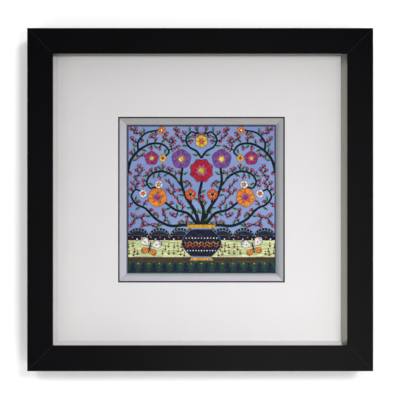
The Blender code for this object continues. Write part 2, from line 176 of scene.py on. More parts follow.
class Recipe:
    """A finish being mixed: one material and the nodes in it."""

    def __init__(self, name: str) -> None:
        """Start an empty material of that name."""
        self.material = bpy.data.materials.new(name)
        self.material.use_nodes = True
        self.tree = self.material.node_tree
        self.tree.nodes.clear()

    def node(self, kind: str, settings: dict[str, Any], sockets: dict[Any, Any]) -> Node:
        """Add a node.

        Args:
            kind: The node's type.
            settings: Its own settings, which are set first.
            sockets: Values or links, by the socket's name or number.

        Returns:
            The new node.
        """
        made = self.tree.nodes.new(kind)
        for name, value in settings.items():
            setattr(made, name, value)
        for key, value in sockets.items():
            source = value.socket if isinstance(value, Tap) else value
            if isinstance(source, NodeSocket):
                self.tree.links.new(source, made.inputs[key])
            else:
                made.inputs[key].default_value = source
        return made

    def number(self, kind: str, settings: dict[str, Any], sockets: dict[Any, Any]) -> Tap:
        """Add a node and give its first output as a number."""
        return Tap(self, self.node(kind, settings, sockets).outputs[0])

    def place(self) -> NodeSocket:
        """Give the place on the object, in metres."""
        return self.node("ShaderNodeTexCoord", {}, {}).outputs["Object"]

    def attribute(self, name: str) -> Node:
        """Give the node that reads one of the mesh's own attributes."""
        return self.node("ShaderNodeAttribute", {"attribute_name": name}, {})

    def axes(self, vector: NodeSocket) -> tuple[Tap, ...]:
        """Give the x, y and z of a vector."""
        parts = self.node("ShaderNodeSeparateXYZ", {}, {0: vector}).outputs
        return tuple(Tap(self, part) for part in parts)

    def noise(self, vector: NodeSocket, kind: Noise) -> Tap:
        """Give noise over a vector, stretched first and cut to a soft step last where it says so.

        Args:
            vector: What the noise lies on.
            kind: What noise it is.

        Returns:
            The noise, from 0 to 1.
        """
        if kind.stretch is not None:
            sockets = {0: vector, 1: kind.stretch}
            vector = self.node("ShaderNodeVectorMath", {"operation": "MULTIPLY"}, sockets).outputs[0]
        sockets = {"Vector": vector, "Scale": kind.scale, "Detail": kind.detail}
        lumps = self.number("ShaderNodeTexNoise", {}, sockets)
        return lumps if kind.step is None else lumps.rising(*kind.step)

    def blend(self, factor: Any, first: Any, second: Any) -> NodeSocket:
        """Mix two colours: the first where factor is 0, and the second where it is 1."""
        sockets = {0: factor, 6: first, 7: second}
        return self.node("ShaderNodeMix", {"data_type": "RGBA"}, sockets).outputs[2]

    def bump(self, height: Tap, relief: Relief) -> NodeSocket:
        """Turn a height from 0 to 1 into a normal for that relief."""
        sockets = {"Height": height, "Distance": relief.depth, "Strength": relief.strength}
        return self.node("ShaderNodeBump", {}, sockets).outputs[0]

    def coat(self, sockets: dict[str, Any]) -> Material:
        """Finish the material with one shader, whose sockets take those values or links."""
        shader = self.node("ShaderNodeBsdfPrincipled", {}, sockets)
        self.node("ShaderNodeOutputMaterial", {}, {"Surface": shader.outputs[0]})
        return self.material


# Finishes


class Grain(Enum):
    """The way a length of moulding runs, as the stretch that draws noise out along it."""

    ACROSS = (0.04, 1.0, 1.0)
    UPRIGHT = (1.0, 1.0, 0.04)

    @classmethod
    def of(cls, side: str) -> "Grain":
        """Give the way the length on one side of the picture runs."""
        return cls.ACROSS if side in ("top", "bottom") else cls.UPRIGHT


@dataclass(frozen=True)
class BlackLacquer:
    """Satin black lacquer, brushed along the rail over close-grained wood."""

    body: Colour = (1, 1, 3)
    pale: Colour = (5, 5, 8)
    streaks: Noise = Noise(900.0)
    bloom: Noise = Noise(14.0, step=(0.42, 0.75))
    specks: Noise = Noise(1500.0, 1.0, step=(0.74, 0.82))
    bloom_share: float = 0.5
    speck_share: float = 0.35
    speck_height: float = 0.5
    roughness: float = 0.42
    streak_roughness: float = 0.12
    bloom_roughness: float = 0.04
    gloss: float = 0.04
    relief: Relief = Relief(0.00004, 0.5)

    def material(self, name: str, grain: Grain) -> Material:
        """Mix the lacquer: long faint brush streaks, a soft bloom and a few paler specks.

        Args:
            name: The material's name.
            grain: The way the rail runs.

        Returns:
            The finished material.
        """
        recipe = Recipe(name)
        place = recipe.place()
        streaks = recipe.noise(place, replace(self.streaks, stretch=grain.value))
        bloom = recipe.noise(place, self.bloom)
        specks = recipe.noise(place, self.specks)
        paleness = bloom * self.bloom_share + specks * self.speck_share
        return recipe.coat(
            {
                "Base Color": recipe.blend(paleness, linear(self.body), linear(self.pale)),
                "Roughness": self.roughness + streaks * self.streak_roughness + bloom * self.bloom_roughness,
                "Specular IOR Level": self.gloss,
                "Normal": recipe.bump(streaks + specks * self.speck_height, self.relief),
            }
        )


@dataclass(frozen=True)
class Card:
    """Board with a paper face, whose bare cut shows between two depths, given as y.

    Where a shade colour is given, it is painted shade: the board darkens to it in the frame's upper left
    and lower right corners, which lie furthest from the rising diagonal. The painted shade narrows towards
    the back. The board also takes a share of the painted shade towards the upper right corner, along that
    diagonal. Its cut darkens to a painted shade of its own.
    """

    face: Colour
    cut: Colour
    cut_front: float
    cut_back: float
    # Painted shade in the frame's upper left and lower right corners and towards the upper right: its
    # colours, shares and reach.
    painted_shade: Colour | None = None
    cut_painted_shade: Colour = (78, 78, 72)
    diagonal_shade_share: float = 0.0
    diagonal_shade_from: float = 0.279
    diagonal_shade_full: float = 0.2905
    corner_shade_middle: float = 0.0016
    corner_shade_from: float = 0.289
    corner_shade_full: float = 0.2908
    corner_shade_slope: float = 0.2056
    blur: float = 0.00002
    fibres: Noise = Noise(2200.0, 4.0, (1.0, 1.0, 0.45))
    mottle: Noise = Noise(30.0)
    fibre_share: float = 0.55
    mottle_share: float = 0.45
    shade_share: float = 0.955
    roughness: float = 0.86
    fibre_roughness: float = 0.1
    gloss: float = 0.25
    relief: Relief = Relief(0.00003)

    def material(self, name: str) -> Material:
        """Mix the board: fine fibres, faint mottling, the bare cut and, where given, painted shade.

        Args:
            name: The material's name.

        Returns:
            The finished material.
        """
        recipe = Recipe(name)
        place = recipe.place()
        fibres = recipe.noise(place, self.fibres)
        paleness = fibres * self.fibre_share + recipe.noise(place, self.mottle) * self.mottle_share
        colour = recipe.blend(paleness, linear(dimmed(self.face, self.shade_share)), linear(self.face))
        across, depth, up = recipe.axes(place)
        behind_face = depth.rising(self.cut_front - self.blur, self.cut_front)
        bare = behind_face * depth.rising(self.cut_back, self.cut_back - self.blur)
        colour = recipe.blend(bare, colour, linear(self.cut))
        # Painted shade: darken the board in its corners and towards the upper right, where shade falls.
        if self.painted_shade is not None:
            corner = abs(up - across - self.corner_shade_middle) - (depth - self.cut_back) * self.corner_shade_slope
            diagonal_shade = (up + across).rising(self.diagonal_shade_from, self.diagonal_shade_full) * self.diagonal_shade_share
            dark = corner.rising(self.corner_shade_from, self.corner_shade_full).most(diagonal_shade)
            shade = recipe.blend(bare, linear(self.painted_shade), linear(self.cut_painted_shade))
            colour = recipe.blend(dark, colour, shade)
        return recipe.coat(
            {
                "Base Color": colour,
                "Roughness": self.roughness + fibres * self.fibre_roughness,
                "Specular IOR Level": self.gloss,
                "Normal": recipe.bump(fibres, self.relief),
            }
        )


@dataclass(frozen=True)
class SilverPaint:
    """Silver-grey paint on the slip, burnished along its length and darkened at its sight edge by painted
    shade.
    """

    body: Colour
    shade: Colour
    # Painted shade along the sight edge: its width, where it is full, its strength and its colour.
    sight_shade_width: float = 0.001
    sight_shade_full: float = 0.35
    sight_shade_strength: float = 0.85
    sight_shade_colour: Colour = (78, 82, 98)
    streaks: Noise = Noise(1400.0)
    patches: Noise = Noise(60.0)
    streak_share: float = 0.6
    patch_share: float = 0.4
    metal: float = 0.25
    sight_shade_metal: float = 0.2
    roughness: float = 0.42
    streak_roughness: float = 0.16
    sight_shade_roughness: float = 0.2
    relief: Relief = Relief(0.00003)

    def material(self, name: str, grain: Grain, middle: Vector, half: Vector) -> Material:
        """Mix the paint, with painted shade at its sight edge.

        Args:
            name: The material's name.
            grain: The way the length runs.
            middle: The middle of the slip's opening.
            half: Half the opening's width and height, in x and z.

        Returns:
            The finished material.
        """
        recipe = Recipe(name)
        place = recipe.place()
        x, _, z = recipe.axes(place)
        streaks = recipe.noise(place, replace(self.streaks, stretch=grain.value))
        inset = (abs(x - middle.x) - half.x).most(abs(z - middle.z) - half.z)
        # Painted shade: darker towards the sight edge, where the slip shades itself and the cloth.
        sight_shade = inset.rising(self.sight_shade_width, self.sight_shade_width * self.sight_shade_full)
        paleness = streaks * self.streak_share + recipe.noise(place, self.patches) * self.patch_share
        silver = recipe.blend(paleness, linear(self.shade), linear(self.body))
        return recipe.coat(
            {
                "Base Color": recipe.blend(sight_shade * self.sight_shade_strength, silver, linear(self.sight_shade_colour)),
                "Metallic": self.metal - sight_shade * self.sight_shade_metal,
                "Roughness": self.roughness + streaks * self.streak_roughness + sight_shade * self.sight_shade_roughness,
                "Normal": recipe.bump(streaks, self.relief),
            }
        )


@dataclass(frozen=True)
class Hardboard:
    """Plain pressed hardboard: fine fibres matted flat, with a few dark flecks."""

    body: Colour = (158, 124, 88)
    dark: Colour = (128, 97, 66)
    pale: Colour = (184, 152, 114)
    fleck: Colour = (78, 56, 38)
    level_fibres: Noise = Noise(2600.0, stretch=(0.25, 1.0, 1.0))
    upright_fibres: Noise = Noise(2600.0, stretch=(1.0, 1.0, 0.25))
    fibre_step: Span = (0.45, 0.7)
    patches: Noise = Noise(18.0, 4.0, step=(0.35, 0.9))
    flecks: Noise = Noise(1100.0, 1.0, step=(0.64, 0.72))
    patch_share: float = 0.22
    fleck_share: float = 0.6
    roughness: float = 0.66
    fibre_roughness: float = 0.16
    relief: Relief = Relief(0.00003)

    def material(self, name: str) -> Material:
        """Mix the board: fibres lying both ways, slow patches and small flecks.

        Args:
            name: The material's name.

        Returns:
            The finished material.
        """
        recipe = Recipe(name)
        place = recipe.place()
        fibres = recipe.noise(place, self.level_fibres).most(recipe.noise(place, self.upright_fibres))
        matted = fibres.rising(*self.fibre_step)
        colour = recipe.blend(matted, linear(self.dark), linear(self.body))
        for noise, share, tint in (
            (self.patches, self.patch_share, self.pale),
            (self.flecks, self.fleck_share, self.fleck),
        ):
            colour = recipe.blend(recipe.noise(place, noise) * share, colour, linear(tint))
        return recipe.coat(
            {
                "Base Color": colour,
                "Roughness": self.roughness + matted * self.fibre_roughness,
                "Normal": recipe.bump(matted, self.relief),
            }
        )


@dataclass(frozen=True)
class WovenCloth:
    """Closely woven periwinkle cotton, a little uneven in its dye."""

    body: Colour = (116, 138, 186)
    pale: Colour = (140, 158, 200)
    deep: Colour = (96, 118, 172)
    body_share: float = 0.55
    thread_pitch: float = 0.00042
    drift: Noise = Noise(90.0, 2.0)
    drift_turn: float = 1.6
    slubs: Noise = Noise(1500.0, 2.0, (0.12, 1.0, 1.0))
    dye: Noise = Noise(22.0, 4.0, step=(0.35, 0.7))
    weave_share: float = 0.22
    slub_share: float = 0.18
    slub_height: float = 0.5
    roughness: float = 0.82
    slub_roughness: float = 0.1
    gloss: float = 0.3
    sheen: float = 0.12
    relief: Relief = Relief(0.00007, 0.7)

    def material(self, name: str) -> Material:
        """Mix the cloth.

        The weave is the product of two sines, one for the warp and one for the weft, whose sign
        says which of them is on top; slow noise bends both a little.

        Args:
            name: The material's name.

        Returns:
            The finished material.
        """
        recipe = Recipe(name)
        place = recipe.place()
        x, _, z = recipe.axes(place)
        turn = math.pi / self.thread_pitch
        drift = recipe.noise(place, self.drift) * self.drift_turn
        weave = (x * turn + drift).wave() * (z * turn + drift).wave()
        slubs = recipe.noise(place, self.slubs)
        colour = recipe.blend(recipe.noise(place, self.dye), linear(self.deep), linear(self.pale))
        colour = recipe.blend(self.body_share, colour, linear(self.body))
        paleness = weave.rising(-1.0, 1.0) * self.weave_share + slubs * self.slub_share
        return recipe.coat(
            {
                "Base Color": recipe.blend(paleness, colour, linear(self.pale)),
                "Roughness": self.roughness + slubs * self.slub_roughness,
                "Specular IOR Level": self.gloss,
                "Sheen Weight": self.sheen,
                "Normal": recipe.bump(abs(weave) + slubs * self.slub_height, self.relief),
            }
        )


@dataclass(frozen=True)
class Floss:
    """Stranded embroidery thread: fine glossy filaments laid side by side."""

    filaments: Noise = Noise(9.0, 2.0, (0.12, 1.0, 1.0))
    dark_share: float = 0.78
    light_share: float = 1.12
    light_lift: float = 6.0
    filament_share: float = 0.5
    tone_share: float = 0.7
    tone_step: Span = (0.05, 1.15)
    roughness: float = 0.5
    filament_polish: float = 0.12
    gloss: float = 0.15
    sheen: float = 0.02
    relief: Relief = Relief(0.00004)

    def material(self, name: str, dye: Colour) -> Material:
        """Mix the thread.

        Its filaments are noise drawn out along the strand, in the strand's own millimetres, and
        each stitch is a little lighter or darker than its neighbours.

        Args:
            name: The material's name.
            dye: The thread's colour as seen.

        Returns:
            The finished material.
        """
        recipe = Recipe(name)
        tone = Tap(recipe, recipe.attribute("tone").outputs["Fac"])
        filaments = recipe.noise(recipe.attribute("strand").outputs["Vector"], self.filaments)
        light = tuple(min(255.0, part + self.light_lift) for part in dimmed(dye, self.light_share))
        paleness = (filaments * self.filament_share + tone * self.tone_share).rising(*self.tone_step)
        return recipe.coat(
            {
                "Base Color": recipe.blend(paleness, linear(dimmed(dye, self.dark_share)), linear(light)),
                "Roughness": self.roughness - filaments * self.filament_polish,
                "Specular IOR Level": self.gloss,
                "Sheen Weight": self.sheen,
                "Normal": recipe.bump(filaments, self.relief),
            }
        )


# Shapes in the picture's plane, in millimetres from the middle of the slip's opening

LEVEL_DEG = 0.0
UPRIGHT_DEG = 90.0
FINE_STEPS = 12
COARSE_STEPS = 4
OVAL_STEPS = 14


def paired(x: Array | float, z: Array | float) -> Array:
    """Pair x with z as places; either may be one number for all."""
    return np.stack(np.broadcast_arrays(x, z), axis=-1)


def smooth_line(route: Route | Array, steps: int = FINE_STEPS) -> Array:
    """Draw a smooth curve through a route.

    It is a Catmull-Rom curve: each stretch is a cubic whose slope at a route point is half the
    step between that point's two neighbours.

    Args:
        route: The points to pass through.
        steps: How many points to give each stretch.

    Returns:
        The curve's points, one row each.
    """
    p = np.array(route, float)
    p = np.vstack([2 * p[0] - p[1], p, 2 * p[-1] - p[-2]])
    t = np.linspace(0, 1, steps, endpoint=False)[:, None]
    stretches = [
        0.5 * (2 * b + (c - a) * t + (2 * a - 5 * b + 4 * c - d) * t**2 + (3 * (b - c) + d - a) * t**3)
        for a, b, c, d in zip(p, p[1:], p[2:], p[3:])
    ]
    return np.vstack(stretches + [p[-2][None]])


class Walk(NamedTuple):
    """Even steps along a line: places, unit vectors ahead and to the left, and shares of its length."""

    places: Array
    ahead: Array
    aside: Array
    share: Array


def directions(line: Array) -> tuple[Array, Array]:
    """Give the unit vectors along a line and across it, to its left, at every point."""
    ahead = np.gradient(line, axis=0)
    ahead /= np.linalg.norm(ahead, axis=1)[:, None]
    return ahead, paired(-ahead[:, 1], ahead[:, 0])


def travelled(line: Array) -> Array:
    """Give how far each point of a line lies along it."""
    return np.concatenate([[0.0], np.cumsum(np.linalg.norm(np.diff(line, axis=0), axis=1))])


def walk(line: Array, pitch: float) -> Walk:
    """Walk along a line in even steps, from its first point to its last.

    Args:
        line: The points of the line.
        pitch: About how long each step is.

    Returns:
        The walk, of three places or more.
    """
    reach = travelled(line)
    steps = np.linspace(0, reach[-1], max(3, round(reach[-1] / pitch) + 1))
    places = paired(*(np.interp(steps, reach, line[:, k]) for k in (0, 1)))
    return Walk(places, *directions(places), steps / reach[-1])


def turned(points: Array, angle_deg: float | Array, start: Array) -> Array:
    """Turn points about the origin, then move the origin.

    Args:
        points: Points, in the last axis's two columns.
        angle_deg: How far to turn them, for all or for each.
        start: Where the origin goes.

    Returns:
        The points in their new place.
    """
    c, s = np.cos(np.radians(angle_deg)), np.sin(np.radians(angle_deg))
    points = np.asarray(points, float)
    x, z = points[..., 0], points[..., 1]
    return paired(x * c - z * s, x * s + z * c) + np.asarray(start, float)


def ray(reach: Array | float, angle_deg: Array | float, start: Array) -> Array:
    """Give the places that lie that far from a start, at that angle."""
    reach, angle_deg = np.broadcast_arrays(reach, angle_deg)
    return turned(paired(reach, 0.0), angle_deg, start)


def heading_deg(way: Array) -> float:
    """Give the angle at which a way points."""
    return math.degrees(math.atan2(way[1], way[0]))


def jittered(across: Array, up: Array, jitter: float, dice: np.random.Generator) -> Array:
    """Scatter places about the crossings of a grid.

    Args:
        across: The grid's x values.
        up: Its z values.
        jitter: How far a place may stray to either side.
        dice: What draws how far it does.

    Returns:
        The places, row by row.
    """
    grid = paired(*np.meshgrid(across, up))
    return (grid + dice.uniform(-jitter, jitter, grid.shape)).reshape(-1, 2)


def has_room(place: Array, space: float, taken: list[Triple]) -> bool:
    """Say whether a place is at least that far from every disc taken, given by x, z and radius."""
    return all(math.dist(place, (x, z)) > radius + space for x, z, radius in taken)


def oval_half(u: Array, width: float, swell: float) -> Array:
    """Give half the width of a pointed oval at share u of its length, which follows a sine."""
    return np.sin(math.pi * u**swell) * width / 2


def pointed_oval(start: Array, angle_deg: float, length: float, width: float, swell: float) -> Array:
    """Draw the outline of a pointed oval.

    Args:
        start: Its first tip.
        angle_deg: The way it points.
        length: From tip to tip.
        width: Across its widest part.
        swell: Above 1 it is widest past its middle, and below 1 before it.

    Returns:
        The closed outline's points.
    """
    u = np.linspace(0, 1, OVAL_STEPS)
    upper = paired(u * length, oval_half(u, width, swell))
    lower = upper[::-1][1:-1] * (1, -1)
    return turned(np.vstack([upper, lower]), angle_deg, start)


class Rows(NamedTuple):
    """Straight stitches: where each starts and ends."""

    starts: Array
    ends: Array


def hatch(outline: Array, angle_deg: float, pitch: float, holes: tuple[Array, ...] = ()) -> Rows:
    """Fill an outline with parallel rows.

    The outline is turned so that the rows lie level. Each row meets the sides whose ends lie on
    either side of it, and its meetings, sorted and taken two by two, are the ends of stitches.

    Args:
        outline: The closed outline's points.
        angle_deg: The way the rows run.
        pitch: From one row to the next.
        holes: Closed outlines inside it that stay bare.

    Returns:
        The rows, cut to the outline and its holes.
    """
    loops = [turned(loop, -angle_deg, (0, 0)) for loop in (outline, *holes)]
    u, v = np.vstack(loops).T
    next_u, next_v = np.vstack([np.roll(loop, -1, axis=0) for loop in loops]).T
    low, high = loops[0][:, 1].min(), loops[0][:, 1].max()
    rows = np.arange(low + pitch / 2, high, pitch)[:, None]
    meets = (v > rows) != (next_v > rows)
    rise = np.where(next_v == v, 1.0, next_v - v)
    at = np.sort(np.where(meets, u + (rows - v) / rise * (next_u - u), np.inf), axis=1)
    at = at[:, : len(u) // 2 * 2].reshape(len(rows), -1, 2)
    real = np.isfinite(at).all(axis=2)
    heights = np.broadcast_to(rows, real.shape)[real]
    return Rows(*(turned(paired(side, heights), angle_deg, (0, 0)) for side in at[real].T))


def bricked(rows: Rows, longest: float, dice: np.random.Generator, overlap: float = 0.4) -> Rows:
    """Cut long rows into stitches whose joints don't line up, as bricks are laid.

    A joint that would leave less than a quarter of a stitch at either end of its row is left out.

    Args:
        rows: The rows.
        longest: The length of a whole stitch.
        dice: What draws each row's first joint.
        overlap: How far each stitch runs on under the next.

    Returns:
        The shorter stitches.
    """
    span = rows.ends - rows.starts
    length = np.linalg.norm(span, axis=1)[:, None]
    count = int(np.ceil(length.max() / longest)) + 2
    joints = np.clip((np.arange(count) - dice.random((len(length), 1))) * longest, 0, length)
    short = np.minimum(longest / 4, length / 2)
    joints = np.where(joints < short, 0, np.where(length - joints < short, length, joints))
    joints /= np.maximum(length, 1e-9)
    first, last = joints[:, :-1], joints[:, 1:]
    row, part = np.nonzero((last - first) * length > overlap)
    tuck = overlap / length[row, 0]
    starts = np.maximum(first[row, part] - tuck, 0)[:, None]
    ends = np.minimum(last[row, part] + tuck, 1)[:, None]
    return Rows(rows.starts[row] + span[row] * starts, rows.starts[row] + span[row] * ends)


# Thread, as closed tubes


class Thread(Enum):
    """The skeins of thread, each with its colour as seen."""

    INK = (8, 15, 20)
    SLATE = (22, 32, 46)
    NAVY = (17, 16, 38)
    PINE = (28, 70, 54)
    FERN = (98, 140, 80)
    LIME = (196, 204, 150)
    CREAM = (238, 234, 220)
    BERRY = (160, 26, 52)
    PINK = (216, 98, 118)
    CRIMSON = (174, 22, 52)
    MAGENTA = (166, 42, 106)
    PURPLE = (124, 74, 146)
    ORANGE = (238, 134, 44)
    FLAME = (228, 86, 32)
    YELLOW = (230, 190, 66)
    GOLD = (208, 158, 52)
    BROWN = (72, 48, 34)


class Stitch(NamedTuple):
    """A kind of stitch: its thread, how high its middle stands, and how wide it lies."""

    thread: Thread
    lift: float | Array
    width: float = 0.66


class Knot(NamedTuple):
    """A kind of knot: its thread and radius, and how high its foot stands."""

    thread: Thread
    radius: float
    foot: float


@dataclass(frozen=True)
class Tube:
    """How a stitch is shaped: rings along it, and a flattened section."""

    rings: tuple[float, ...] = (0.0, 0.1, 0.5, 0.9, 1.0)
    girths: tuple[float, ...] = (0.4, 0.85, 1.0, 0.85, 0.4)
    sides: int = 5
    flatness: float = 0.72
    foot: float = -0.12
    bluntness: int = 4

    def points(self, rows: Array) -> tuple[Array, Array]:
        """Shape stitches.

        A stitch rises from its foot and falls again as one minus a power of its distance from its
        middle, and its section is an ellipse that narrows at both ends.

        Args:
            rows: For each stitch its start x and z, end x and z, width and lift.

        Returns:
            The points as (stitch, ring, side, (x, z, height)), and the same points in each
            strand's own millimetres, as (along, aside, up).
        """
        start, end, width, lift = rows[:, 0:2], rows[:, 2:4], rows[:, 4], rows[:, 5]
        t = np.array(self.rings)
        angle = 2 * math.pi * np.arange(self.sides) / self.sides
        span = end - start
        length = np.maximum(np.linalg.norm(span, axis=1), 1e-6)
        ahead = span / length[:, None]
        aside = paired(-ahead[:, 1], ahead[:, 0])
        girth = width[:, None, None] / 2 * np.array(self.girths)[None, :, None]
        side = girth * np.cos(angle)
        rise = self.foot + (lift[:, None] - self.foot) * (1 - np.abs(2 * t - 1) ** self.bluntness)
        up = rise[:, :, None] + girth * self.flatness * np.sin(angle)
        centre = start[:, None] + span[:, None] * t[None, :, None]
        flat = centre[:, :, None] + aside[:, None, None] * side[..., None]
        along = np.broadcast_to((length[:, None] * t)[:, :, None], side.shape)
        return np.concatenate([flat, up[..., None]], axis=-1), np.stack([along, side, up], axis=-1)


@dataclass(frozen=True)
class Bead:
    """How a knot is shaped: a squat ball with a thread's coils running round it."""

    polar: tuple[float, ...] = (0.12, 0.3, 0.5, 0.7, 0.88)
    sides: int = 9
    squat: float = 0.72
    seat: float = 0.8
    ridge: float = 0.12
    ridges: int = 3
    twist: int = 4

    def points(self, rows: Array) -> tuple[Array, Array]:
        """Shape knots.

        Each is a sphere pressed flat, whose radius swells and shrinks along a spiral of ridges,
        and which sits a little way up from the cloth.

        Args:
            rows: For each knot its x, z, radius and height of its foot.

        Returns:
            The points as (knot, ring, side, (x, z, height)), and the same in its own millimetres.
        """
        theta = math.pi * np.array(self.polar)[:, None]
        phi = 2 * math.pi * np.arange(self.sides)[None] / self.sides
        swell = 1 + self.ridge * np.cos(self.ridges * phi + self.twist * theta)
        radius = rows[:, 2, None, None]
        x = radius * np.sin(theta) * np.cos(phi) * swell
        z = radius * np.sin(theta) * np.sin(phi) * swell
        up = radius * self.squat * (self.seat - np.cos(theta) * swell) + rows[:, 3, None, None]
        places = np.stack([rows[:, 0, None, None] + x, rows[:, 1, None, None] + z, up], axis=-1)
        return places, np.stack([x + z, z - x, up], axis=-1)


def shell_faces(shape: tuple[int, ...], first: int) -> tuple[Array, Array]:
    """List the faces of closed tubes.

    Args:
        shape: How many tubes, rings and sides there are.
        first: The number of their first point.

    Returns:
        The quads round every tube, and the caps at its two ends.
    """
    tubes, rings, sides = shape[:3]
    number = first + np.arange(tubes * rings * sides).reshape(tubes, rings, sides)
    beside = np.roll(number, -1, axis=2)
    quads = np.stack([number[:, :-1], beside[:, :-1], beside[:, 1:], number[:, 1:]], axis=-1)
    caps = np.concatenate([number[:, 0, ::-1], number[:, -1]])
    return quads.reshape(-1, 4), caps


def make_mesh(name: str, points: Array, faces: list[Array]) -> Mesh:
    """Make a smooth mesh from arrays.

    Args:
        name: The mesh's name.
        points: One row for each point, in metres.
        faces: Arrays of faces, each with faces of one number of corners.

    Returns:
        The mesh.
    """
    mesh = bpy.data.meshes.new(name)
    corners = np.concatenate([group.ravel() for group in faces])
    sizes = np.concatenate([np.full(len(group), group.shape[1]) for group in faces])
    mesh.vertices.add(len(points))
    mesh.vertices.foreach_set("co", points.astype(np.float32).ravel())
    mesh.loops.add(len(corners))
    mesh.loops.foreach_set("vertex_index", corners.astype(np.int32))
    mesh.polygons.add(len(sizes))
    mesh.polygons.foreach_set("loop_start", np.concatenate([[0], np.cumsum(sizes)[:-1]]).astype(np.int32))
    mesh.update(calc_edges=True)
    mesh.validate()
    mesh.shade_smooth()
    return mesh


def show(mesh: Mesh, material: Material) -> Object:
    """Put a mesh in the scene as a piece of the picture.

    Args:
        mesh: The mesh, whose name the piece takes.
        material: Its finish.

    Returns:
        The piece, riding on the frame.
    """
    mesh.materials.append(material)
    piece = bpy.data.objects.new(mesh.name, mesh)
    bpy.context.scene.collection.objects.link(piece)
    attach(piece, BODY)
    log.info("%s: %d faces", piece.name, len(mesh.polygons))
    return piece


@dataclass(frozen=True)
class Panel:
    """The part of the cloth that shows: its middle, its half sizes and its front, in metres."""

    x: float
    z: float
    half_width: float
    half_height: float
    front: float

    def place(self, points: Array) -> Array:
        """Turn (x, z, height) in millimetres on the panel into places in the frame."""
        x, z, height = np.moveaxis(points, -1, 0) * MM
        return np.stack([self.x + x, self.front - height, self.z + z], axis=-1)


@dataclass
class Workbasket:
    """Gathers the stitches and knots of each thread, and makes one piece of each thread."""

    panel: Panel
    seed: int = 7
    edge: float = 0.25
    strand_shift: float = 500.0
    tube: Tube = Tube()
    bead: Bead = Bead()
    stitches: dict[Thread, list[Array]] = field(default_factory=dict)
    knots: dict[Thread, list[Array]] = field(default_factory=dict)

    def sew(self, stitch: Stitch, rows: Rows, mirrored: bool = False) -> None:
        """Add straight stitches.

        Args:
            stitch: Their kind.
            rows: Where they start and end.
            mirrored: Whether to sew them on the left too.
        """
        lift = np.broadcast_to(stitch.lift, len(rows.starts))
        sizes = paired(stitch.width, lift)
        for flip in (1, -1) if mirrored else (1,):
            table = np.hstack([rows.starts * (flip, 1), rows.ends * (flip, 1), sizes])
            self.stitches.setdefault(stitch.thread, []).append(table)

    def knot(self, knot: Knot, places: Array, mirrored: bool = False) -> None:
        """Add knots.

        Args:
            knot: Their kind.
            places: Where they go.
            mirrored: Whether to knot them on the left too.
        """
        places = np.reshape(places, (-1, 2))
        sizes = np.broadcast_to((knot.radius, knot.foot), places.shape)
        for flip in (1, -1) if mirrored else (1,):
            self.knots.setdefault(knot.thread, []).append(np.hstack([places * (flip, 1), sizes]))

    def pieces(self) -> list[Object]:
        """Make one piece of each thread, with its stitches and its knots."""
        dice = np.random.default_rng(self.seed)
        return [self._piece(thread, dice) for thread in Thread if thread in self.stitches | self.knots]

    def _inside(self, rows: Array) -> Array:
        """Keep the stitches that show, and stop their ends at the edge of the slip."""
        half = np.array([self.panel.half_width, self.panel.half_height]) / MM - self.edge
        starts, ends, laid = np.split(rows, (2, 4), axis=1)
        shows = (np.abs((starts + ends) / 2) < half).all(axis=1)
        return np.hstack([np.clip(starts, -half, half), np.clip(ends, -half, half), laid])[shows]

    def _piece(self, thread: Thread, dice: np.random.Generator) -> Object:
        """Make the piece of one thread."""
        blocks = []
        if thread in self.stitches:
            blocks.append(self.tube.points(self._inside(np.vstack(self.stitches[thread]))))
        if thread in self.knots:
            blocks.append(self.bead.points(np.vstack(self.knots[thread])))
        places, strands, tones, quads, caps = [], [], [], [], []
        first = 0
        for block, strand in blocks:
            count, rings, sides = block.shape[:3]
            walls, ends = shell_faces(block.shape, first)
            first += count * rings * sides
            quads.append(walls)
            caps.append(ends)
            places.append(block.reshape(-1, 3))
            strands.append((strand + dice.uniform(0, self.strand_shift, (count, 1, 1, 1))).reshape(-1, 3))
            tones.append(np.repeat(dice.random(count), rings * sides))
        name = thread.name.lower()
        mesh = make_mesh(f"thread_{name}", self.panel.place(np.vstack(places)), [np.vstack(quads), *caps])
        strand_data = mesh.attributes.new("strand", "FLOAT_VECTOR", "POINT").data
        strand_data.foreach_set("vector", np.vstack(strands).ravel())
        mesh.attributes.new("tone", "FLOAT", "POINT").data.foreach_set("value", np.concatenate(tones))
        return show(mesh, Floss().material(f"floss_{name}", thread.value))


# The stitched design


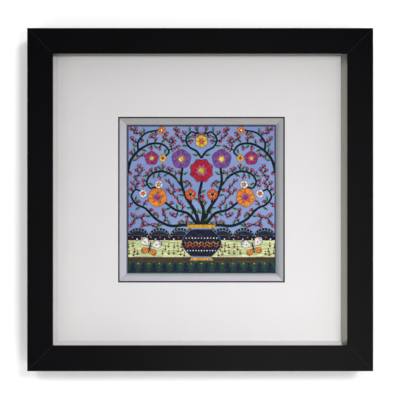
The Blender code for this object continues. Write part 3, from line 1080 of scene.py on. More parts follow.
@dataclass
class Sewing:
    """What the whole design is sewn with: a basket, the pitch of its rows and one set of dice.

    Lengths are millimetres, and places are measured from the middle of the slip's opening.
    """

    basket: Workbasket
    half_width: float
    half_height: float
    pitch: float = 0.6
    stitch_gap_share: float = 0.01
    outline_stitch: float = 1.5
    slip_margin: float = 0.5
    dice: np.random.Generator = field(default_factory=lambda: np.random.default_rng(11))

    def middles(self, count: int) -> tuple[float, Array]:
        """Share the panel's width out to a row of shapes, and give their pitch and middles."""
        pitch = 2 * (self.half_width - self.slip_margin) / count
        return pitch, pitch * (np.arange(count) - (count - 1) / 2)

    def slanted(self, line: Array, width: float | Span, slant: float, pitch: float | None = None) -> Rows:
        """Lay slanting stitches side by side across a line.

        Args:
            line: The line they follow.
            width: How wide the band is, at all of its length or at its two ends.
            slant: How far each stitch leans along the line, as a share of the width.
            pitch: From one stitch to the next, where it isn't the pitch of the rows.

        Returns:
            The stitches.
        """
        step = walk(line, pitch or self.pitch)
        first, last = np.broadcast_to(width, 2)
        across = step.aside * (first + (last - first) * step.share)[:, None] / 2
        lean = step.ahead * (slant * np.linalg.norm(across, axis=1))[:, None]
        return Rows(step.places + across - lean, step.places - across + lean)

    def running(self, stitch: Stitch, line: Array, length: float, mirrored: bool) -> None:
        """Sew a fine line of stitches, a hair apart.

        Args:
            stitch: How they are laid.
            line: The line to follow.
            length: About how long each stitch is.
            mirrored: Whether to sew it on the left too.
        """
        places = walk(line, length).places
        gap = (places[1:] - places[:-1]) * self.stitch_gap_share
        self.basket.sew(stitch, Rows(places[:-1] + gap, places[1:] - gap), mirrored)

    def outlined(self, stitch: Stitch, outline: Array, mirrored: bool) -> None:
        """Sew a fine line round a shape."""
        self.running(stitch, np.vstack([outline, outline[:1]]), self.outline_stitch, mirrored)

    def filled(self, stitch: Stitch, outline: Array, angle_deg: float, mirrored: bool) -> None:
        """Fill a domed shape along its length.

        Each row's height follows the square root of its share of the longest row, so the shape is
        highest along its middle.

        Args:
            stitch: How the longest row is laid.
            outline: The closed outline.
            angle_deg: The way the rows run.
            mirrored: Whether to sew it on the left too.
        """
        rows = hatch(outline, angle_deg, self.pitch)
        length = np.linalg.norm(rows.ends - rows.starts, axis=1)
        domed = stitch._replace(lift=stitch.lift * np.sqrt(length / length.max()))
        self.basket.sew(domed, rows, mirrored)


@dataclass(frozen=True)
class Pot:
    """The pot: its bulging body with zigzags between dotted lines, its rim and its foot."""

    sewing: Sewing
    bottom_z: float = -60.0
    top_z: float = -31.0
    neck_half_width: float = 10.5
    belly: float = 10.0
    outline_steps: int = 24
    rim: Route = ((-14, -30.4), (14, -30.4), (15, -26), (-15, -26))
    foot: Route = ((-12.5, -64), (12.5, -64), (10, -60.6), (-10, -60.6))
    glaze: Stitch = Stitch(Thread.NAVY, 0.6)
    longest: float = 9.0
    trim: Stitch = Stitch(Thread.GOLD, 0.7)
    zigzags: tuple[tuple[float, float, Stitch], ...] = (
        (-45.5, 18.5, Stitch(Thread.GOLD, 0.88, 0.8)),
        (-48.5, 18.0, Stitch(Thread.FLAME, 0.88, 0.8)),
    )
    zigzag_corners: int = 13
    zigzag_half_height: float = 1.6
    dotted_lines: Route = ((-40.5, 16.0), (-53.5, 14.5))
    dots: int = 11
    dot: Knot = Knot(Thread.CREAM, 0.7, 0.5)

    def half(self, z: Array) -> Array:
        """Give the pot's half width at a height, which bulges from foot to neck as a sine."""
        u = np.clip((z - self.bottom_z) / (self.top_z - self.bottom_z), 0, 1)
        return self.neck_half_width + self.belly * np.sin(math.pi * u)

    def beside(self, rows: Rows) -> Rows:
        """Keep the stitches whose middles aren't behind the pot."""
        x, z = ((rows.starts + rows.ends) / 2).T
        kept = np.abs(x) > self.half(z)
        return Rows(rows.starts[kept], rows.ends[kept])

    def body(self) -> Array:
        """Draw the outline of the pot's body."""
        z = np.linspace(self.bottom_z, self.top_z, self.outline_steps)
        right = paired(self.half(z), z)
        return np.vstack([right, right[::-1] * (-1, 1)])

    def sew(self) -> None:
        """Sew the pot: long and short stitches, rim and foot, and zigzags between dotted lines."""
        basket, pitch = self.sewing.basket, self.sewing.pitch
        rows = hatch(self.body(), UPRIGHT_DEG, pitch)
        basket.sew(self.glaze, bricked(rows, self.longest, self.sewing.dice))
        for corners in (self.rim, self.foot):
            basket.sew(self.trim, hatch(np.array(corners), UPRIGHT_DEG, pitch))
        swing = self.zigzag_half_height * (-1.0) ** np.arange(self.zigzag_corners)
        for z, reach, stitch in self.zigzags:
            line = paired(np.linspace(-reach, reach, self.zigzag_corners), z + swing)
            basket.sew(stitch, Rows(line[:-1], line[1:]))
        for z, reach in self.dotted_lines:
            basket.knot(self.dot, paired(np.linspace(-reach, reach, self.dots), z))


@dataclass(frozen=True)
class Hills:
    """The scalloped hills: upright stitches under a dark line with pale ticks across it."""

    sewing: Sewing
    pot: Pot
    count: int = 7
    base_z: float = -38.2
    rise: float = 7.0
    steps: int = 25
    grass: Stitch = Stitch(Thread.SLATE, 0.3)
    line: Stitch = Stitch(Thread.INK, 0.42)
    line_width: float = 2.8
    line_slant: float = 0.15
    tick: Stitch = Stitch(Thread.CREAM, 0.66, 0.42)
    tick_length: float = 2.0
    tick_pitch: float = 3.2

    def scallop(self, number: int, inset: float = 0.0) -> Array:
        """Draw one scallop of the ground's top, as half an ellipse from right to left."""
        pitch, middles = self.sewing.middles(self.count)
        half, rise = pitch / 2 - self.line_width / 2 - inset, self.rise - inset
        a = np.linspace(0, math.pi, self.steps)
        return paired(middles[number] + half * np.cos(a), self.base_z + rise * np.sin(a))

    def sew(self) -> None:
        """Sew every hill, the line over it and the ticks."""
        for number in range(self.count):
            line = self.scallop(number)
            hill = self.scallop(number, self.line_width / 2)
            for stitch, rows in (
                (self.grass, hatch(hill, UPRIGHT_DEG, self.sewing.pitch)),
                (self.line, self.sewing.slanted(line, self.line_width, self.line_slant)),
                (self.tick, self.sewing.slanted(line, self.tick_length, 0.0, self.tick_pitch)),
            ):
                self.sewing.basket.sew(stitch, self.pot.beside(rows))


@dataclass(frozen=True)
class Teeth:
    """The row of dark teeth along the foot, with a knot over each gap."""

    sewing: Sewing
    count: int = 14
    base_z: float = -75.6
    tip_z: float = -65.5
    fill: float = 0.92
    inside: Stitch = Stitch(Thread.SLATE, 0.42)
    rim: Stitch = Stitch(Thread.INK, 0.4, 0.7)
    knot: Knot = Knot(Thread.FLAME, 0.95, 0.2)
    knot_drop: float = 1.5

    def outlines(self) -> list[Array]:
        """Draw the row of teeth, from left to right."""
        pitch, middles = self.sewing.middles(self.count)
        tooth = np.array([(-0.5, self.base_z), (0.5, self.base_z), (0.0, self.tip_z)])
        return [tooth * (pitch * self.fill, 1) + (x, 0) for x in middles]

    def sew(self) -> None:
        """Sew the teeth, and knots over their gaps."""
        basket = self.sewing.basket
        for tooth in self.outlines():
            basket.sew(self.inside, hatch(tooth, LEVEL_DEG, self.sewing.pitch))
            self.sewing.outlined(self.rim, tooth, False)
        middles = self.sewing.middles(self.count)[1]
        basket.knot(self.knot, paired((middles[1:] + middles[:-1]) / 2, self.tip_z - self.knot_drop))


class Oval(NamedTuple):
    """A pointed oval: where it starts, the way it points, its length, width and thread."""

    x: float
    z: float
    angle_deg: float
    length: float
    width: float
    thread: Thread


class Wing(NamedTuple):
    """A butterfly's wing in its place: its thread, first tip, angle, length and outline."""

    thread: Thread
    start: Array
    angle_deg: float
    length: float
    outline: Array


@dataclass(frozen=True)
class Butterfly:
    """The right-hand butterfly, which is sewn on the left too."""

    sewing: Sewing
    place: Span = (54.0, -50.5)
    tilt_deg: float = 14.0
    ovals: tuple[Oval, ...] = (
        Oval(0.7, 1.0, 36, 13.0, 8.5, Thread.CREAM),
        Oval(-0.7, 1.0, 144, 13.0, 8.5, Thread.CREAM),
        Oval(0.7, -0.6, -40, 9.0, 6.5, Thread.ORANGE),
        Oval(-0.7, -0.6, 220, 9.0, 6.5, Thread.ORANGE),
    )
    wing_swell: float = 1.35
    wing_lift: float = 0.62
    rim: Stitch = Stitch(Thread.INK, 0.55, 0.45)
    ray: Stitch = Stitch(Thread.BROWN, 0.78, 0.6)
    ray_starts: Route = ((0.66, -1.8), (0.66, 0.0), (0.66, 1.8))
    ray_ends: Route = ((0.92, -1.2), (0.96, 0.0), (0.92, 1.2))
    spot: Knot = Knot(Thread.FLAME, 0.85, 0.55)
    spot_share: float = 0.5
    body: Stitch = Stitch(Thread.BROWN, 0.72)
    body_line: Route = ((0, -5.5), (0, 0), (0, 5.5))
    body_width: float = 1.9
    body_slant: float = 0.3
    feeler: Stitch = Stitch(Thread.INK, 0.3, 0.4)
    feeler_line: Route = ((0.3, 5), (1.2, 7.2), (2.6, 8.6))
    feeler_stitch: float = 1.4

    def wings(self) -> list[Wing]:
        """Draw the butterfly's wings."""
        wings = []
        for oval in self.ovals:
            start, angle = turned((oval.x, oval.z), self.tilt_deg, self.place), oval.angle_deg + self.tilt_deg
            outline = pointed_oval(start, angle, oval.length, oval.width, self.wing_swell)
            wings.append(Wing(oval.thread, start, angle, oval.length, outline))
        return wings

    def sew(self) -> None:
        """Sew the butterfly and its mirror: wings along their length, rays, spots, body and feelers."""
        sewing = self.sewing
        for wing in self.wings():
            sewing.filled(Stitch(wing.thread, self.wing_lift), wing.outline, wing.angle_deg, True)
            sewing.outlined(self.rim, wing.outline, True)
            starts, ends = (
                turned(np.array(places) * (wing.length, 1), wing.angle_deg, wing.start)
                for places in (self.ray_starts, self.ray_ends)
            )
            sewing.basket.sew(self.ray, Rows(starts, ends), True)
            spot = ray(wing.length * self.spot_share, wing.angle_deg, wing.start)
            sewing.basket.knot(self.spot, spot, True)
        body = turned(self.body_line, self.tilt_deg, self.place)
        sewing.basket.sew(self.body, sewing.slanted(body, self.body_width, self.body_slant), True)
        for side in (-1, 1):
            route = turned(np.array(self.feeler_line) * (side, 1), self.tilt_deg, self.place)
            sewing.running(self.feeler, smooth_line(route, COARSE_STEPS), self.feeler_stitch, True)


@dataclass(frozen=True)
class Ground:
    """The bands of the ground, round what stands on them, with two rows of blooms on the hedge."""

    sewing: Sewing
    hills: Hills
    pot: Pot
    butterfly: Butterfly
    teeth: Teeth
    hedge_height: float = 4.8
    soil_height: float = 4.4
    foot_rise: float = 0.8
    pitch: float = 0.7
    longest: float = 7.5
    lift: float = 0.2
    width: float = 0.9
    bloom_reach: float = 72.0
    bloom_pitch: float = 4.8
    bloom_margin: float = 1.0
    blooms: tuple[tuple[Knot, float], ...] = (
        (Knot(Thread.FLAME, 0.8, 0.25), 1.5),
        (Knot(Thread.CREAM, 0.8, 0.25), 3.4),
    )

    def sew(self) -> None:
        """Sew the bands with long level stitches, and the blooms."""
        base, hedge = self.hills.base_z, self.hills.base_z - self.hedge_height
        foot = self.teeth.tip_z + self.foot_rise
        soil = foot + self.soil_height
        wings = [wing.outline for wing in self.butterfly.wings()]
        holes = (self.pot.body(), np.array(self.pot.foot), *wings, *(wing * (-1, 1) for wing in wings))
        x = self.sewing.half_width
        for thread, low, high, inner in (
            (Thread.NAVY, hedge, base, holes),
            (Thread.LIME, soil, hedge, holes),
            (Thread.BROWN, foot, soil, holes),
            (Thread.PINE, -self.sewing.half_height, foot, tuple(self.teeth.outlines())),
        ):
            band = np.array([(-x, low), (x, low), (x, high), (-x, high)])
            rows = bricked(hatch(band, LEVEL_DEG, self.pitch, inner), self.longest, self.sewing.dice)
            self.sewing.basket.sew(Stitch(thread, self.lift, self.width), rows)
        places = np.arange(-self.bloom_reach, self.bloom_reach + 1, self.bloom_pitch)
        places = places[np.abs(places) > self.pot.half(hedge) + self.bloom_margin]
        for first, (bloom, drop) in enumerate(self.blooms):
            self.sewing.basket.knot(bloom, paired(places[first::2], base - drop))


@dataclass(frozen=True)
class Tufts:
    """Tufts of grass, each with a red knot, which are scattered over the open ground."""

    ground: Ground
    left_x: float = 4.0
    right_x: float = 76.0
    low_margin: float = 2.5
    high_margin: float = 4.0
    pitch_x: float = 4.2
    pitch_z: float = 4.0
    jitter: float = 1.3
    room: float = 1.6
    pot_margin: float = 2.5
    butterfly_room: float = 12.0
    blade: Stitch = Stitch(Thread.INK, 0.5, 0.75)
    blades: Route = ((2.6, 124.0), (3.6, 94.0), (2.8, 58.0))
    knot: Knot = Knot(Thread.BERRY, 0.8, 0.25)
    knot_rise: float = 0.5

    def sew(self) -> None:
        """Sew a tuft at every place of a jittered grid that has room for one."""
        ground, sewing = self.ground, self.ground.sewing
        taken = [(*ground.butterfly.place, self.butterfly_room)]
        low = ground.teeth.tip_z + ground.soil_height + self.low_margin
        high = ground.hills.base_z - ground.hedge_height - self.high_margin
        across, up = np.arange(self.left_x, self.right_x, self.pitch_x), np.arange(low, high, self.pitch_z)
        for spot in jittered(across, up, self.jitter, sewing.dice):
            beside_pot = abs(spot[0]) > ground.pot.half(spot[1]) + self.pot_margin
            if beside_pot and has_room(spot, self.room, taken):
                taken.append((*spot, self.room))
                blades = ray(*np.array(self.blades).T, spot)
                sewing.basket.sew(self.blade, Rows(np.broadcast_to(spot, blades.shape), blades), True)
                sewing.basket.knot(self.knot, blades[1] + (0, self.knot_rise), True)


@dataclass(frozen=True)
class Stem:
    """A stem: its route, its width at root and tip, and whether it is sewn on the left too."""

    route: Route
    root_width: float
    tip_width: float
    mirrored: bool = True
    rope: Stitch = Stitch(Thread.INK, 0.34)
    slant: float = 0.9
    fullness: float = 1.75
    tuck: float = 1.6

    def sew(self, sewing: Sewing) -> None:
        """Sew the stem as a rope, whose tip runs on a little under its flower."""
        line = smooth_line(self.route)
        last = line[-1] - line[-2]
        line = np.vstack([line, line[-1] + last / np.linalg.norm(last) * self.tuck])
        widths = (self.root_width * self.fullness, self.tip_width * self.fullness)
        sewing.basket.sew(self.rope, sewing.slanted(line, widths, self.slant), self.mirrored)


@dataclass(frozen=True)
class Flower:
    """A flower: its place, radius, petals and first petal's angle, its threads and proportions."""

    x: float
    z: float
    radius: float
    petals: int
    turn_deg: float
    mirrored: bool
    petal: Thread
    throat: Thread
    heart: Thread
    root_share: float = 0.2
    petal_fill: float = 0.9
    petal_swell: float = 1.35
    petal_lift: float = 0.7
    rim: Stitch = Stitch(Thread.INK, 0.5, 0.4)
    ray_fan_deg: float = 70.0
    ray_from: float = 0.24
    ray_to: Triple = (0.46, 0.58, 0.46)
    ray_lift: float = 0.86
    ray_width: float = 0.5
    heart_share: float = 0.26
    heart_ring: float = 0.62
    knot_share: float = 0.42
    knot_count: int = 6
    knot_foot: float = 0.45

    def sew(self, sewing: Sewing) -> None:
        """Sew petals along their length, a throat of short rays and a heart of knots."""
        centre = np.array([self.x, self.z])
        width = 2 * self.radius * math.sin(math.pi / self.petals) * self.petal_fill
        root = self.radius * self.root_share
        angles = self.turn_deg + 360 * np.arange(self.petals) / self.petals
        for angle in angles:
            start = ray(root, angle, centre)
            petal = pointed_oval(start, angle, self.radius - root, width, self.petal_swell)
            sewing.filled(Stitch(self.petal, self.petal_lift), petal, angle, self.mirrored)
            sewing.outlined(self.rim, petal, self.mirrored)
        fan = (angles[:, None] + np.array([-1, 0, 1]) * self.ray_fan_deg / self.petals).ravel()
        near, far = self.radius * self.ray_from, self.radius * np.tile(self.ray_to, self.petals)
        rays = Rows(ray(near, fan, centre), ray(far, fan, centre))
        sewing.basket.sew(Stitch(self.throat, self.ray_lift, self.ray_width), rays, self.mirrored)
        heart = self.radius * self.heart_share
        knot = Knot(self.heart, heart * self.knot_share, self.knot_foot)
        ring = ray(heart * self.heart_ring, 360 / self.knot_count * np.arange(self.knot_count), centre)
        sewing.basket.knot(knot, np.vstack([centre, ring]), self.mirrored)


STEMS = (
    Stem(((0, -27), (2.2, -12), (-2.2, 2), (0, 17)), 2.4, 1.6, False),
    Stem(((2.2, -27), (7, -12), (16, 2), (21, 18), (20, 32)), 2.2, 1.4),
    Stem(((20.5, 14), (29, 24), (40, 29), (51, 27), (57, 19), (54, 12), (48.5, 12.5)), 1.6, 1.1),
    Stem(((4, -27), (14, -15), (27, -11), (37, -4)), 2.0, 1.4),
    Stem(
        ((6, -27.5), (18, -27), (33, -27.5), (47, -21), (58, -10), (68, -5), (73, 3), (69, 10), (65, 9)),
        2.0,
        1.1,
    ),
    Stem(((77, 30), (73, 42), (64, 52), (52, 58), (40, 57), (34, 50), (37.5, 45)), 1.8, 1.1),
    Stem(((66, 50.5), (66, 60), (58, 69), (46, 72)), 1.3, 1.0),
    Stem(((0, 43), (5, 50), (13, 55), (16, 63), (11, 70), (6, 69)), 1.4, 1.0),
    Stem(((1.2, -27), (5.5, -17), (10.5, -8), (11, -1)), 1.6, 1.2),
)

FLOWERS = (
    Flower(0, 30, 13, 8, 22.5, False, Thread.CRIMSON, Thread.PINK, Thread.GOLD),
    Flower(21, 42, 10.5, 5, 90, True, Thread.PURPLE, Thread.PINK, Thread.YELLOW),
    Flower(46, 2, 10.5, 5, 60, True, Thread.ORANGE, Thread.FLAME, Thread.MAGENTA),
    Flower(0, 60.5, 7, 6, 30, False, Thread.YELLOW, Thread.ORANGE, Thread.FLAME),
    Flower(52, 43, 7.5, 5, 20, True, Thread.MAGENTA, Thread.PINK, Thread.YELLOW),
    Flower(11.5, 5, 6, 5, 90, True, Thread.FLAME, Thread.YELLOW, Thread.NAVY),
    Flower(44.5, 15.5, 4.5, 5, 50, True, Thread.CREAM, Thread.PINK, Thread.GOLD),
    Flower(61, 6, 4.5, 5, 10, True, Thread.CREAM, Thread.PINK, Thread.FLAME),
    Flower(40.5, 43, 4, 5, 30, True, Thread.YELLOW, Thread.ORANGE, Thread.CRIMSON),
    Flower(41.5, 72, 4.2, 5, 0, True, Thread.ORANGE, Thread.FLAME, Thread.CREAM),
)


@dataclass(frozen=True)
class Leaves:
    """The leaves that stand by turns on either side of a stem, where there is room."""

    sewing: Sewing
    taken: list[Triple]
    first: float = 4.5
    pitch: float = 7.5
    tip_margin: float = 2.0
    length: float = 6.2
    width: float = 2.8
    swell: float = 0.85
    angle_deg: float = 50.0
    standoff: float = 0.5
    room: float = 3.0
    greens: tuple[Stitch, Stitch] = (Stitch(Thread.PINE, 0.4, 0.6), Stitch(Thread.FERN, 0.4, 0.6))
    stitches: int = 10
    rib_from: float = 0.02
    rib_to: float = 0.84
    rib_gap: float = 0.02
    rim_lead: float = 0.14

    def grow(self, stem: Stem) -> None:
        """Sew the leaves of one stem for which there is room."""
        line = smooth_line(stem.route, COARSE_STEPS)
        reach = travelled(line)
        tables = (line, *directions(line))
        spots = np.arange(self.first, reach[-1] - self.tip_margin, self.pitch)
        for number, spot in enumerate(spots):
            here, way, left = (
                np.array([np.interp(spot, reach, table[:, k]) for k in (0, 1)]) for table in tables
            )
            side = 1 if number % 2 else -1
            angle = heading_deg(way) + side * self.angle_deg
            start = here + left * side * (stem.root_width / 2 + self.standoff)
            middle = ray(self.length / 2, angle, start)
            if has_room(middle, self.room, self.taken):
                self.taken.append((*middle, self.room / 2))
                self.leaf(start, angle, number, stem.mirrored)

    def leaf(self, start: Array, angle_deg: float, number: int, mirrored: bool) -> None:
        """Sew a leaf in fishbone stitch: from its rib, slanting forwards to either edge.

        Args:
            start: The leaf's first tip.
            angle_deg: The way it points.
            number: Its number on the stem, which sets which green is on which side.
            mirrored: Whether to sew it on the left too.
        """
        u = np.linspace(self.rib_from, self.rib_to, self.stitches)
        edge = u + self.rim_lead
        for side, green in zip((1, -1), self.greens[:: 1 if number % 3 else -1]):
            rib = paired(u, -side * self.rib_gap) * self.length
            rim = paired(edge * self.length, oval_half(edge, self.width, self.swell) * side)
            rows = Rows(turned(rib, angle_deg, start), turned(rim, angle_deg, start))
            self.sewing.basket.sew(green, rows, mirrored)


class Fan(NamedTuple):
    """Stitches that fan out from one place: their lean, length, how they are laid, and their spread."""

    lean_deg: float
    length: float
    stitch: Stitch
    spread_deg: tuple[float, ...] = (0.0,)


@dataclass(frozen=True)
class Shoots:
    """Fine side shoots with leaf ticks and buds, which fill the open sky."""

    sewing: Sewing
    hills: Hills
    taken: list[Triple]
    walk_pitch: float = 0.8
    pitch: float = 4.2
    jitter: float = 1.1
    left_x: float = 2.2
    right_margin: float = 2.5
    low_margin: float = 3.5
    high_margin: float = 3.0
    rounds: int = 4
    nearest: float = 3.0
    furthest: float = 7.5
    bend: float = 0.14
    tip_room: float = 1.5
    line_room: float = 0.3
    twig: Stitch = Stitch(Thread.INK, 0.3, 1.4)
    twig_stitch: float = 1.8
    ticks: tuple[Fan, ...] = (
        Fan(-42, 2.0, Stitch(Thread.FERN, 0.4, 0.8)),
        Fan(46, 2.4, Stitch(Thread.INK, 0.4, 0.8)),
        Fan(-75, 1.9, Stitch(Thread.PINE, 0.4, 0.8)),
        Fan(78, 1.9, Stitch(Thread.PINE, 0.4, 0.8)),
    )
    bud_fans: tuple[Fan, ...] = (
        Fan(0, 2.0, Stitch(Thread.BERRY, 0.5, 0.85), (-26, 0, 26)),
        Fan(8, 1.5, Stitch(Thread.PINK, 0.72, 0.4)),
    )
    bud_root: float = 0.35
    side_bud: Triple = (2.0, 46.0, 60.0)
    tip_buds: Route = ((-1, 30.0), (-2, -40.0))

    def grow(self) -> None:
        """Grow side shoots into the open sky of the right half, and mirror them.

        Their tips are drawn from a jittered grid. In each round, every tip that is a few
        millimetres from the growth and has room is joined to the nearest point of the growth,
        and becomes part of it.
        """
        growth = np.vstack([walk(smooth_line(stem.route), self.walk_pitch).places for stem in STEMS])
        low = self.hills.base_z + self.hills.rise + self.low_margin
        high = self.sewing.half_height - self.high_margin
        across = np.arange(self.left_x, self.sewing.half_width - self.right_margin, self.pitch)
        tips = jittered(across, np.arange(low, high, self.pitch), self.jitter, self.sewing.dice)
        for _ in range(self.rounds):
            waiting = []
            for tip in tips:
                gaps = np.linalg.norm(growth - tip, axis=1)
                line = self.bent(growth[gaps.argmin()], tip)
                if gaps.min() > self.furthest:
                    waiting.append(tip)
                elif gaps.min() > self.nearest and self.clear(line):
                    self.shoot(line)
                    growth = np.vstack([growth, line[1:]])
            tips = waiting

    def bent(self, start: Array, tip: Array) -> Array:
        """Join two places by a line that bends to one side by a share of its length."""
        way = tip - start
        middle = (start + tip) / 2 + np.array([-way[1], way[0]]) * self.bend * (-1) ** round(tip.sum())
        return smooth_line(np.stack([start, middle, tip]), COARSE_STEPS)

    def clear(self, line: Array) -> bool:
        """Say whether a shoot's line and tip keep off the flowers, leaves and other tips."""
        tip_is_clear = has_room(line[-1], self.tip_room, self.taken)
        return tip_is_clear and all(has_room(place, self.line_room, self.taken) for place in line[3:])

    def shoot(self, line: Array) -> None:
        """Sew one side shoot and its mirror: a fine line, leaf ticks and three buds."""
        heading = heading_deg(line[-1] - line[-3])
        self.taken.append((*line[-1], self.tip_room))
        self.sewing.running(self.twig, line, self.twig_stitch, True)
        root = line[len(line) // 2]
        for tick in self.ticks:
            self.fan(tick, root, heading, 0.0)
        reach, lean, turn = self.side_bud
        self.bud(ray(reach, heading + lean, root), heading + turn)
        for point, turn in self.tip_buds:
            self.bud(line[point], heading + turn)

    def bud(self, base: Array, heading: float) -> None:
        """Sew a bud: a fan of red stitches with a pink one over them."""
        for fan in self.bud_fans:
            self.fan(fan, base, heading, self.bud_root)

    def fan(self, fan: Fan, base: Array, heading: float, root: float) -> None:
        """Sew the stitches of a fan, each from that far off its base."""
        angles = np.array(fan.spread_deg) + (heading + fan.lean_deg)
        rows = Rows(ray(root, angles, base), ray(fan.length, angles, base))
        self.sewing.basket.sew(fan.stitch, rows, True)


@dataclass(frozen=True)
class ShadeEdging:
    """The thin dark lines along the left, the top and the right of the panel, stitched as painted shade where
    the slip's edge shades the cloth.
    """

    sewing: Sewing
    inset: float = 0.7
    widths: Triple = (1.2, 1.2, 1.0)
    slant: float = 0.9
    line: Stitch = Stitch(Thread.NAVY, 0.25)

    def sew(self) -> None:
        """Sew the three lines."""
        x, z = self.sewing.half_width - self.inset, self.sewing.half_height - self.inset
        corners = np.array([(-x, -z), (-x, z), (x, z), (x, -z)])
        for start, end, width in zip(corners, corners[1:], self.widths):
            rows = self.sewing.slanted(np.stack([start, end]), width, self.slant)
            self.sewing.basket.sew(self.line, rows)


def work_design(sewing: Sewing) -> None:
    """Sew a common pot of flowers between two butterflies, from the ground forwards.

    Args:
        sewing: What it is sewn with, and the size of the panel.
    """
    pot, butterfly, teeth = Pot(sewing), Butterfly(sewing), Teeth(sewing)
    hills = Hills(sewing, pot)
    ground = Ground(sewing, hills, pot, butterfly, teeth)
    for part in (ground, hills, teeth, pot, butterfly):
        part.sew()
    taken = [(flower.x, flower.z, flower.radius) for flower in FLOWERS]
    leaves = Leaves(sewing, taken)
    for stem in STEMS:
        stem.sew(sewing)
        leaves.grow(stem)
    Shoots(sewing, hills, taken).grow()
    Tufts(ground).sew()
    for flower in FLOWERS:
        flower.sew(sewing)
    # Painted shade: dark lines at the panel's edges, where the slip shades the cloth.
    ShadeEdging(sewing).sew()


# The pieces of the picture


@dataclass(frozen=True)
class Filler:
    """Hard filler in the four mitres of a moulding, a hair thicker than the mitres are open."""

    colour: Colour
    slot: str
    thickness: float = 0.302 * MM
    grit: Noise = Noise(2500.0, 2.0)
    shade_share: float = 0.8
    roughness: float = 0.65
    grit_roughness: float = 0.2
    gloss: float = 0.1

    def fill(self, name: str, section: list[Span], low: Vector, high: Vector) -> None:
        """Fill the mitres.

        Each filling is the moulding's section, drawn by its distance in from the outer corner
        along both sides, and set off by half its thickness to either side of the diagonal.

        Args:
            name: The piece's name.
            section: The section's corners, as distance in and depth y.
            low: The moulding's lowest outer corner.
            high: Its highest outer corner.
        """
        inward, depth = np.array(section).T
        count = len(section)
        ring = np.arange(count)
        beside = np.roll(ring, -1)
        sides = np.stack([ring, beside, beside + count, ring + count], axis=1)
        ends = np.stack([ring[::-1], ring + count])
        points, faces = [], []
        for x, x_way in ((low.x, 1), (high.x, -1)):
            for z, z_way in ((low.z, 1), (high.z, -1)):
                first = len(points) * count
                for off in (-0.5, 0.5):
                    shift = off * self.thickness / math.sqrt(2)
                    along, up = x + x_way * (inward - shift), z + z_way * (inward + shift)
                    points.append(np.stack([along, depth, up], axis=1))
                order = -x_way * z_way
                faces += [(sides + first)[:, ::order], (ends + first)[:, ::order]]
        mesh = make_mesh(name, np.vstack(points), faces)
        mesh.shade_flat()
        show(mesh, self.material(name))

    def material(self, name: str) -> Material:
        """Mix the filler: fine grit of two close shades."""
        recipe = Recipe(name)
        grit = recipe.noise(recipe.place(), self.grit)
        shade = dimmed(self.colour, self.shade_share)
        return recipe.coat(
            {
                "Base Color": recipe.blend(grit, linear(shade), linear(self.colour)),
                "Roughness": self.roughness + grit * self.grit_roughness,
                "Specular IOR Level": self.gloss,
            }
        )


@dataclass
class Rails:
    """The frame's four rails and the filler in their mitres."""

    lacquer: BlackLacquer = BlackLacquer()
    filler: Filler = Filler((50, 50, 56), "frame_lacquer")
    sunk: float = 0.3 * MM
    face_width: float = 25.5 * MM
    rebate_wall: float = 18.7 * MM
    lip_thickness: float = 3.0 * MM

    def dress(self) -> None:
        """Lacquer the rails, each along its own length, and fill their mitres a little below the face."""
        for side in SIDES:
            paint(f"rail_{side}", self.lacquer.material(f"lacquer_{side}", Grain.of(side)))
        front, back = cad_low.y + self.sunk, cad_high.y - self.sunk
        step, far = self.rebate_wall - self.sunk, self.face_width - self.sunk
        lip = cad_low.y + self.lip_thickness - self.sunk
        section = [(self.sunk, back), (step, back), (step, lip), (far, lip), (far, front), (self.sunk, front)]
        self.filler.fill("mitre_filler", section, cad_low, cad_high)


@dataclass
class Boards:
    """The spacer strips, the mat and the backing board."""

    # Painted light and shade: the strips are one board, set lighter on the left and bottom and darker on the
    # top and right, as the light falls.
    strips: dict[str, Colour] = field(
        default_factory=lambda: {
            "top": (135, 135, 128),
            "right": (162, 162, 153),
            "bottom": (246, 243, 245),
            "left": (240, 237, 236),
        }
    )
    strip_end: Colour = (122, 122, 114)
    # Painted shade: the colour the strips darken to in their shaded corners, and the one side that also
    # darkens towards the upper right.
    strip_painted_shade: Colour = (124, 124, 120)
    diagonal_shade_side: str = "right"
    face: Colour = (215, 213, 213)
    core: Colour = (46, 44, 46)
    face_thickness: float = 0.08 * MM

    def dress(self) -> None:
        """Face the strips and the mat with paper, with painted light and shade on the strips, and leave the
        backing board bare.
        """
        skin = self.face_thickness
        for side, strip in self.strips.items():
            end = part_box(f"spacer_{side}")[0].y
            # Only that side takes the painted shade towards the upper right.
            diagonal_shade = float(side == self.diagonal_shade_side)
            card = Card(strip, self.strip_end, end - skin, end + skin, self.strip_painted_shade, diagonal_shade_share=diagonal_shade)
            paint(f"spacer_{side}", card.material(f"spacer_card_{side}"))
        front, back = (corner.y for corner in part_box("mat_board"))
        card = Card(self.face, self.core, front + skin, back + skin)
        paint("mat_board", card.material("mat_card"))
        paint("backing_board", Hardboard().material("hardboard"))


